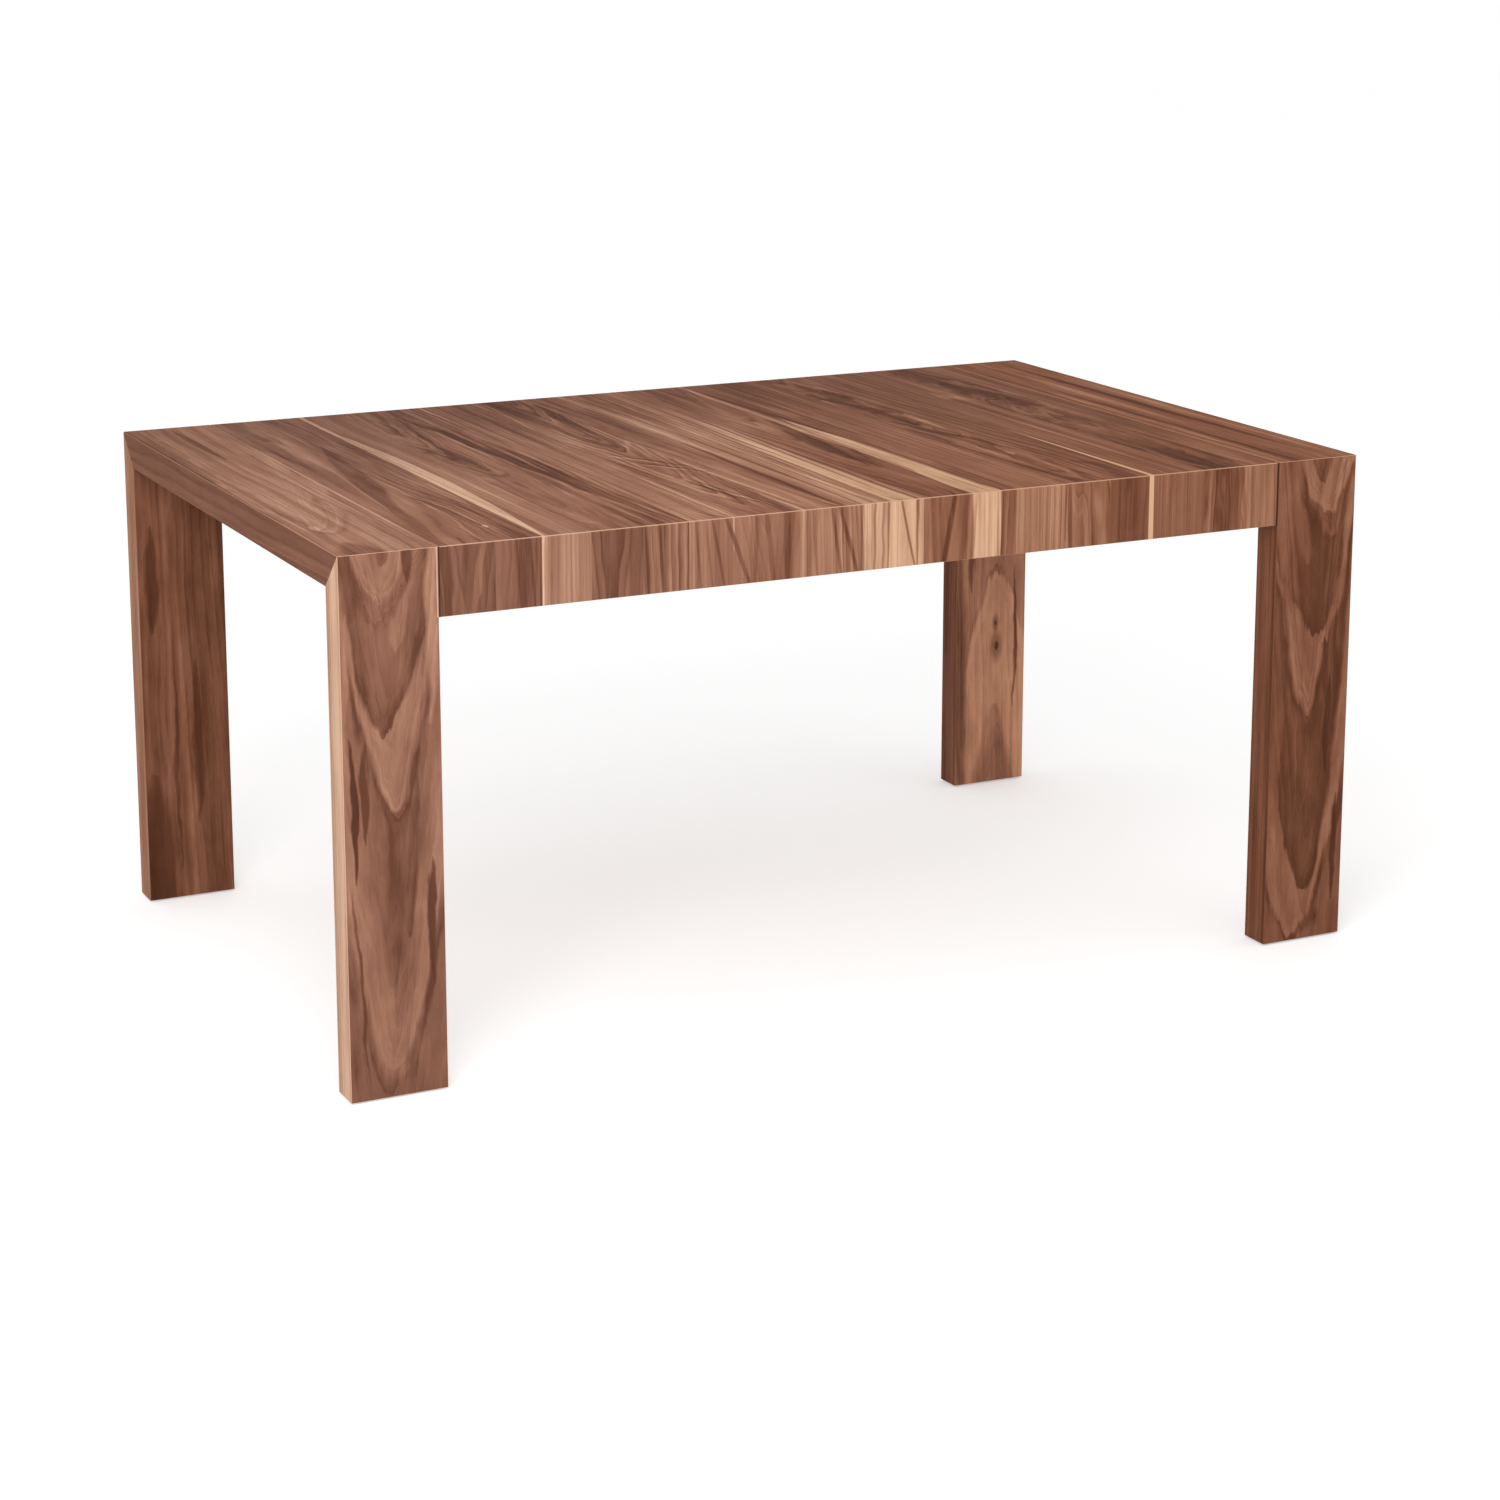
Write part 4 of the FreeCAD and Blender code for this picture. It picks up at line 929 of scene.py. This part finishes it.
endRailFaces = {
    "left": dict(tone=0.69, contrast=0.50, spacing=0.022, heart=-0.20, blunt=0.02, wander=0.02, seed=33),
    "right": dict(tone=0.52, contrast=0.6, spacing=0.009, heart=0.30, rake=0.01, wander=0.01, seed=53),
    "end": dict(
        tone=0.45, contrast=0.28, spacing=0.02, heart=0.10, rake=0.02, blunt=0.01, wander=0.02, seed=83,
    ),
}
railStreaks = {
    "left": {
        "edgeDark": (0.28, 0.0015, 0, 0.0022, 0.2, 0.5, 0.001),
        "farDark": (0.48, 0.074, -0.01, 0.006, 0.34, 0.14, 0.006, 0.01),
        "longLight": (0.8, 0.128, 0, 0.002, 0.18, 0.24, 0.002),
        "lightBand": (0.76, 0.112, 0, 0.014, 0.1, 0.5, 0.014, 0.01),
        "edgeLight": (0.78, 0.014, 0, 0.0025, 0.05, 0.46, 0.002, 0.006),
        "nearLight": (0.78, 0.036, 0.04, 0.002, -0.2, 0.14, 0.003, 0.01),
        "knotLight": (0.98, 0.03, 0, 0.006, -0.322, 0.02, 0.006, 0.01),
        "knotRay": (0.84, 0.071, 0.13, 0.0022, -0.27, 0.06, 0.003, 0.01),
        "knotLeft": (0.84, 0.01, -0.02, 0.002, -0.29, 0.06, 0.002, 0.01),
        "hairOne": (0.9, 0.119, 0, 0.0014, -0.02, 0.3, 0.001, 0.006),
        "hairTwo": (0.86, 0.108, 0, 0.0014, -0.08, 0.3, 0.001, 0.006),
        "seamLine": (0.92, 0.136, 0, 0.0016, -0.05, 0.42, 0.001),
        "nearBrown": (0.46, 0.04, 0, 0.026, -0.49, 0.07, 0.02, 0.05),
    },
    "right": {
        "firstLight": (0.74, 0.02, 0, 0.006, -0.05, 0.5, 0.004, 0.01),
        "firstDark": (0.26, 0.034, 0, 0.007, -0.2, 0.4, 0.005, 0.01),
        "secondLight": (0.72, 0.062, 0, 0.008, 0.12, 0.3, 0.006, 0.01),
        "secondDark": (0.24, 0.092, 0, 0.008, 0.02, 0.44, 0.006, 0.015),
        "thirdLight": (0.68, 0.118, 0, 0.005, -0.1, 0.4, 0.004, 0.01),
    },
}
# Near the left rail's front end the growth lines close round a light knot, open to the rear
railTongues = {
    "outerDark": (0.6, 0.66, -0.372, 0.046, 0.04, 0.08, 0.06, 0.01),
    "outerLight": (0.76, 0.72, -0.358, 0.045, 0.032, 0.07, 0.06, 0.01),
    "innerDark": (0.58, 0.7, -0.34, 0.042, 0.024, 0.06, 0.07),
    "innerLight": (0.8, 0.73, -0.33, 0.04, 0.017, 0.06, 0.08),
}
railLooks = {"left": dict(fade=-0.13, warmth=0.3), "right": dict(fade=0.0, warmth=1.3)}
railFigure = {"stray": 0.03, "patches": (-0.15, 0.1)}
# Tone of the painted highlight on the chamfers of the end rails and leaves
endChamferLightTone = 0.84


def makeEndRailVeneer(side):
    name = f"end_rail_{side}"
    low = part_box(name)[0]
    material, tree, shader, place, normal = newMaterial(name + "_walnut")
    level = facing(normal[2])
    across = mix(place[2] - low.z, place[0] - low.x, level)
    values = lookUpFace(1.0 - level, [endRailFaces[side], endRailFaces["end"]])
    sheet = layVeneer(tree, across, place[1], values)
    tone = values["tone"]
    if side == "left":
        stray = woodNoise("railStray", across, place[1], 0.0)
        shift = stray * railFigure["stray"]
        patches = rise(stray, *railFigure["patches"])
        tone = addTongues(tone, across + shift, place[1] + shift, patches, railTongues)
    tone = addStreaks(tone, across, place[1], streakSeeds["rails"], railStreaks[side])
    # Darker towards the far side: partly the veneer's own tone, partly painted shade
    fade = rise(place[1], *farSide) * railLooks[side]["fade"]
    tone = mix(values["tone"], tone + fade, level) + sheet["detail"]
    walnut(tree, shader, tone, sheet["height"], normal, endChamferLightTone, railLooks[side]["warmth"])
    return material


leafSheets = [
    (0.12, 0.5, 0.6, 0.012, 0.1, 0.03, 0.01, 0.02, 6),
    (0.2, 0.6, 0.5, 0.008, 0.4, 0, 0, 0.01, 16),
    (0.3, 0.44, 0.8, 0.014, 0.26, 0.05, 0.01, 0.03, 26),
    (0.4, 0.52, 0.6, 0.009, 0.6, 0.01, 0, 0.01, 36),
]
leafLook = {"warmth": 0.5, "seedStep": 5}


def makeLeafVeneer(row):
    # The leaf is stored lengthwise, so its grain runs along X
    name = f"leaf_{row}"
    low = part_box(name)[0]
    material, tree, shader, place, normal = newMaterial(name + "_walnut")
    across = place[1] - low.y
    values = lookUp(across, [dict(zip(sheetLabels, sheet)) for sheet in leafSheets])
    values["seed"] = values["seed"] + leafLook["seedStep"] * rows[row]
    sheet = layVeneer(tree, across, place[0], values)
    tone = values["tone"] + sheet["detail"]
    walnut(tree, shader, tone, sheet["height"], normal, endChamferLightTone, leafLook["warmth"])
    return material


# Hidden pieces

beechShades = {0.0: seen(168, 124, 84), 0.5: seen(202, 161, 116), 1.0: seen(226, 190, 146)}
beechSheet = dict(contrast=0.5, spacing=0.006, heart=0.9, rake=0.02, blunt=0.0, wander=0.02, seed=13)
beechLook = {"slant": 0.7, "middle": 0.5, "roughness": 0.55, "shine": -0.05, "relief": 0.0001}


def makeBeech(name, alongAxis, acrossAxis):
    material, tree, shader, place = newMaterial(name)[:4]
    across = place[acrossAxis] + place[2] * beechLook["slant"]
    sheet = layVeneer(tree, across, place[alongAxis], beechSheet)
    colour = colourRamp(sheet["detail"] + beechLook["middle"], list(beechShades.items()))
    roughness = sheet["height"] * beechLook["shine"] + beechLook["roughness"]
    finishShader(tree, shader, colour, roughness, sheet["height"], beechLook["relief"])
    return material


# Each finish has two noise fields: the scales of X, Y and Z that make up its two coordinates, then
# seed, detail and roughness. shares are those of the fields in the colour, and relief is the field
# that gives the height. rough is the least roughness and how much the first field adds.
plainLooks = {
    "aluminium": dict(
        name="satin_aluminium", dark=seen(176, 178, 181), light=seen(205, 207, 209), shares=(0.5, 0.5),
        fields=[((0, 900, 700), (3, 0, 0), 2.0, 2, 0.5), ((9, 0, 0), (0, 40, 30), 5.0, 2, 0.5)],
        rough=(0.34, 0.14), relief=0, depth=0.00004, extras={"Metallic": 1.0},
    ),
    "nylon": dict(
        name="moulded_nylon", dark=seen(38, 38, 40), light=seen(54, 54, 57), shares=(0.0, 1.0),
        fields=[((900, 0, 0), (0, 900, 700), 1.0, 2, 0.5), ((60, 0, 0), (0, 60, 50), 3.0, 2, 0.5)],
        rough=(0.42, 0.2), relief=0, depth=0.00005, extras={},
    ),
    "steel": dict(
        name="zinc_steel", dark=seen(150, 152, 155), light=seen(198, 199, 198), shares=(0.6, 0.4),
        fields=[((240, 0, 0), (0, 240, 200), 1.0, 3, 0.5), ((40, 900, 0), (900, 0, 60), 6.0, 2, 0.5)],
        rough=(0.28, 0.25), relief=1, depth=0.00004, extras={"Metallic": 1.0},
    ),
    "felt": dict(
        name="pressed_felt", dark=seen(70, 68, 66), light=seen(112, 110, 106), shares=(0.6, 0.4),
        fields=[((700, 0, 400), (0, 700, 0), 1.0, 4, 0.7), ((120, 0, 0), (0, 120, 90), 4.0, 3, 0.5)],
        rough=(0.9, 0.1), relief=0, depth=0.0003, extras={"Sheen Weight": 0.4},
    ),
}
plainStops = (0.3, 0.7)


def scaled(place, scales):
    terms = [axis * scale for axis, scale in zip(place, scales) if scale]
    total = terms[0]
    for term in terms[1:]:
        total = total + term
    return total


def makePlain(look):
    material, tree, shader, place = newMaterial(look["name"])[:4]
    fields = [
        noise(scaled(place, first), scaled(place, second), seed, detail, roughness)
        for first, second, seed, detail, roughness in look["fields"]
    ]
    blend = fields[0] * look["shares"][0] + fields[1] * look["shares"][1]
    colour = colourRamp(blend, list(zip(plainStops, (look["dark"], look["light"]))))
    least, spread = look["rough"]
    finishShader(tree, shader, colour, fields[0] * spread + least, fields[look["relief"]], look["depth"])
    for label, value in look["extras"].items():
        shader.inputs[label].default_value = value
    return material


def dress(name, material):
    for slot in nodes[name].material_slots:
        slot.material = material


def dressTable():
    centreVeneer = makeCentreVeneer()
    for name in ("centre_top", "front_apron", "rear_apron"):
        dress(name, centreVeneer)
    for side in sides:
        dress(f"end_rail_{side}", makeEndRailVeneer(side))
        for row in rows:
            dress(f"leg_{row}_{side}", makeLegVeneer(row, side))
    for row in rows:
        dress(f"leaf_{row}", makeLeafVeneer(row))
    beechAlong = makeBeech("beech_lengthwise", 0, 1)
    beechAcross = makeBeech("beech_crosswise", 1, 0)
    finishes = {kind: makePlain(look) for kind, look in plainLooks.items()}
    for part in frame["record"]["subparts"]:
        name = part["node"]
        kind = part["material_slot"]
        if kind in finishes:
            dress(name, finishes[kind])
        if kind == "beech":
            low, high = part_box(name)
            lengthwise = high.x - low.x > high.y - low.y
            dress(name, beechAlong if lengthwise else beechAcross)


addApronLines()
dressTable()
print("materials made")


# Studio

studio = {
    "skyLight": 0.66,
    "floorSize": 14.0,
    "floorShade": 0.9,
    "floorRoughness": 0.9,
    "floorLift": 0.40,
    "keyPlace": (-1.9, -2.7, 2.3),
    "keySize": 2.0,
    "keyPower": 62.0,
}
white = (1.0, 1.0, 1.0, 1.0)


def seenDirectly(tree):
    rays = addNode(tree, "LightPath")
    camera, glossy, through = [
        Wire(tree, rays.outputs[f"Is {kind} Ray"]) for kind in ("Camera", "Glossy", "Transmission")
    ]
    return larger(camera, larger(glossy, through))


def makeSky():
    world = bpy.data.worlds.new("studio")
    bpy.context.scene.world = world
    world.use_nodes = True
    background = world.node_tree.nodes["Background"]
    background.inputs["Color"].default_value = white
    strength = seenDirectly(world.node_tree) * (1.0 - studio["skyLight"]) + studio["skyLight"]
    feed(world.node_tree, background.inputs["Strength"], strength)


def makeFloor():
    mesh = bpy.data.meshes.new("studio_floor")
    shape = bmesh.new()
    bmesh.ops.create_grid(shape, x_segments=1, y_segments=1, size=studio["floorSize"])
    shape.to_mesh(mesh)
    shape.free()
    floor = bpy.data.objects.new("studio_floor", mesh)
    bpy.context.scene.collection.objects.link(floor)
    material, tree, shader = newMaterial("pale_floor")[:3]
    shade = studio["floorShade"]
    shader.inputs["Base Color"].default_value = (shade, shade, shade, 1.0)
    shader.inputs["Roughness"].default_value = studio["floorRoughness"]
    shader.inputs["Specular IOR Level"].default_value = 0.0
    shader.inputs["Emission Color"].default_value = white
    feed(tree, shader.inputs["Emission Strength"], seenDirectly(tree) * studio["floorLift"])
    # The underside lets views from below see the table
    faces = addNode(tree, "NewGeometry")
    clear = addNode(tree, "BsdfTransparent")
    either = addNode(tree, "MixShader", {"Fac": Wire(tree, faces.outputs["Backfacing"])})
    tree.links.new(shader.outputs["BSDF"], either.inputs[1])
    tree.links.new(clear.outputs["BSDF"], either.inputs[2])
    tree.links.new(either.outputs["Shader"], tree.nodes["Material Output"].inputs["Surface"])
    mesh.materials.append(material)


def makeKeyLight():
    lamp = bpy.data.lights.new("key", "AREA")
    lamp.shape = "SQUARE"
    lamp.size = studio["keySize"]
    lamp.energy = studio["keyPower"]
    key = bpy.data.objects.new("key", lamp)
    bpy.context.scene.collection.objects.link(key)
    key.location = studio["keyPlace"]
    aim = (tableLow + tableHigh) / 2 - key.location
    key.rotation_euler = aim.to_track_quat("-Z", "Y").to_euler()


# Angles in degrees, lens and sensor in millimetres
photoCamera = {
    "lens": 79.58,
    "sensor": 36.0,
    "place": (-2.1562, -4.4706, 1.6694),
    "heading": 26.13,
    "dip": 12.17,
    "shiftUp": -0.14,
}


def makeCamera():
    lensData = bpy.data.cameras.new("photo_camera")
    lensData.lens = photoCamera["lens"]
    lensData.sensor_width = photoCamera["sensor"]
    lensData.shift_y = photoCamera["shiftUp"]
    camera = bpy.data.objects.new("photo_camera", lensData)
    bpy.context.scene.collection.objects.link(camera)
    camera.location = photoCamera["place"]
    camera.rotation_euler = (
        math.radians(90 - photoCamera["dip"]), 0.0, math.radians(-photoCamera["heading"])
    )
    bpy.context.scene.camera = camera


makeSky()
makeFloor()
makeKeyLight()
makeCamera()
bpy.context.scene.view_settings.view_transform = "Standard"
print("studio made")
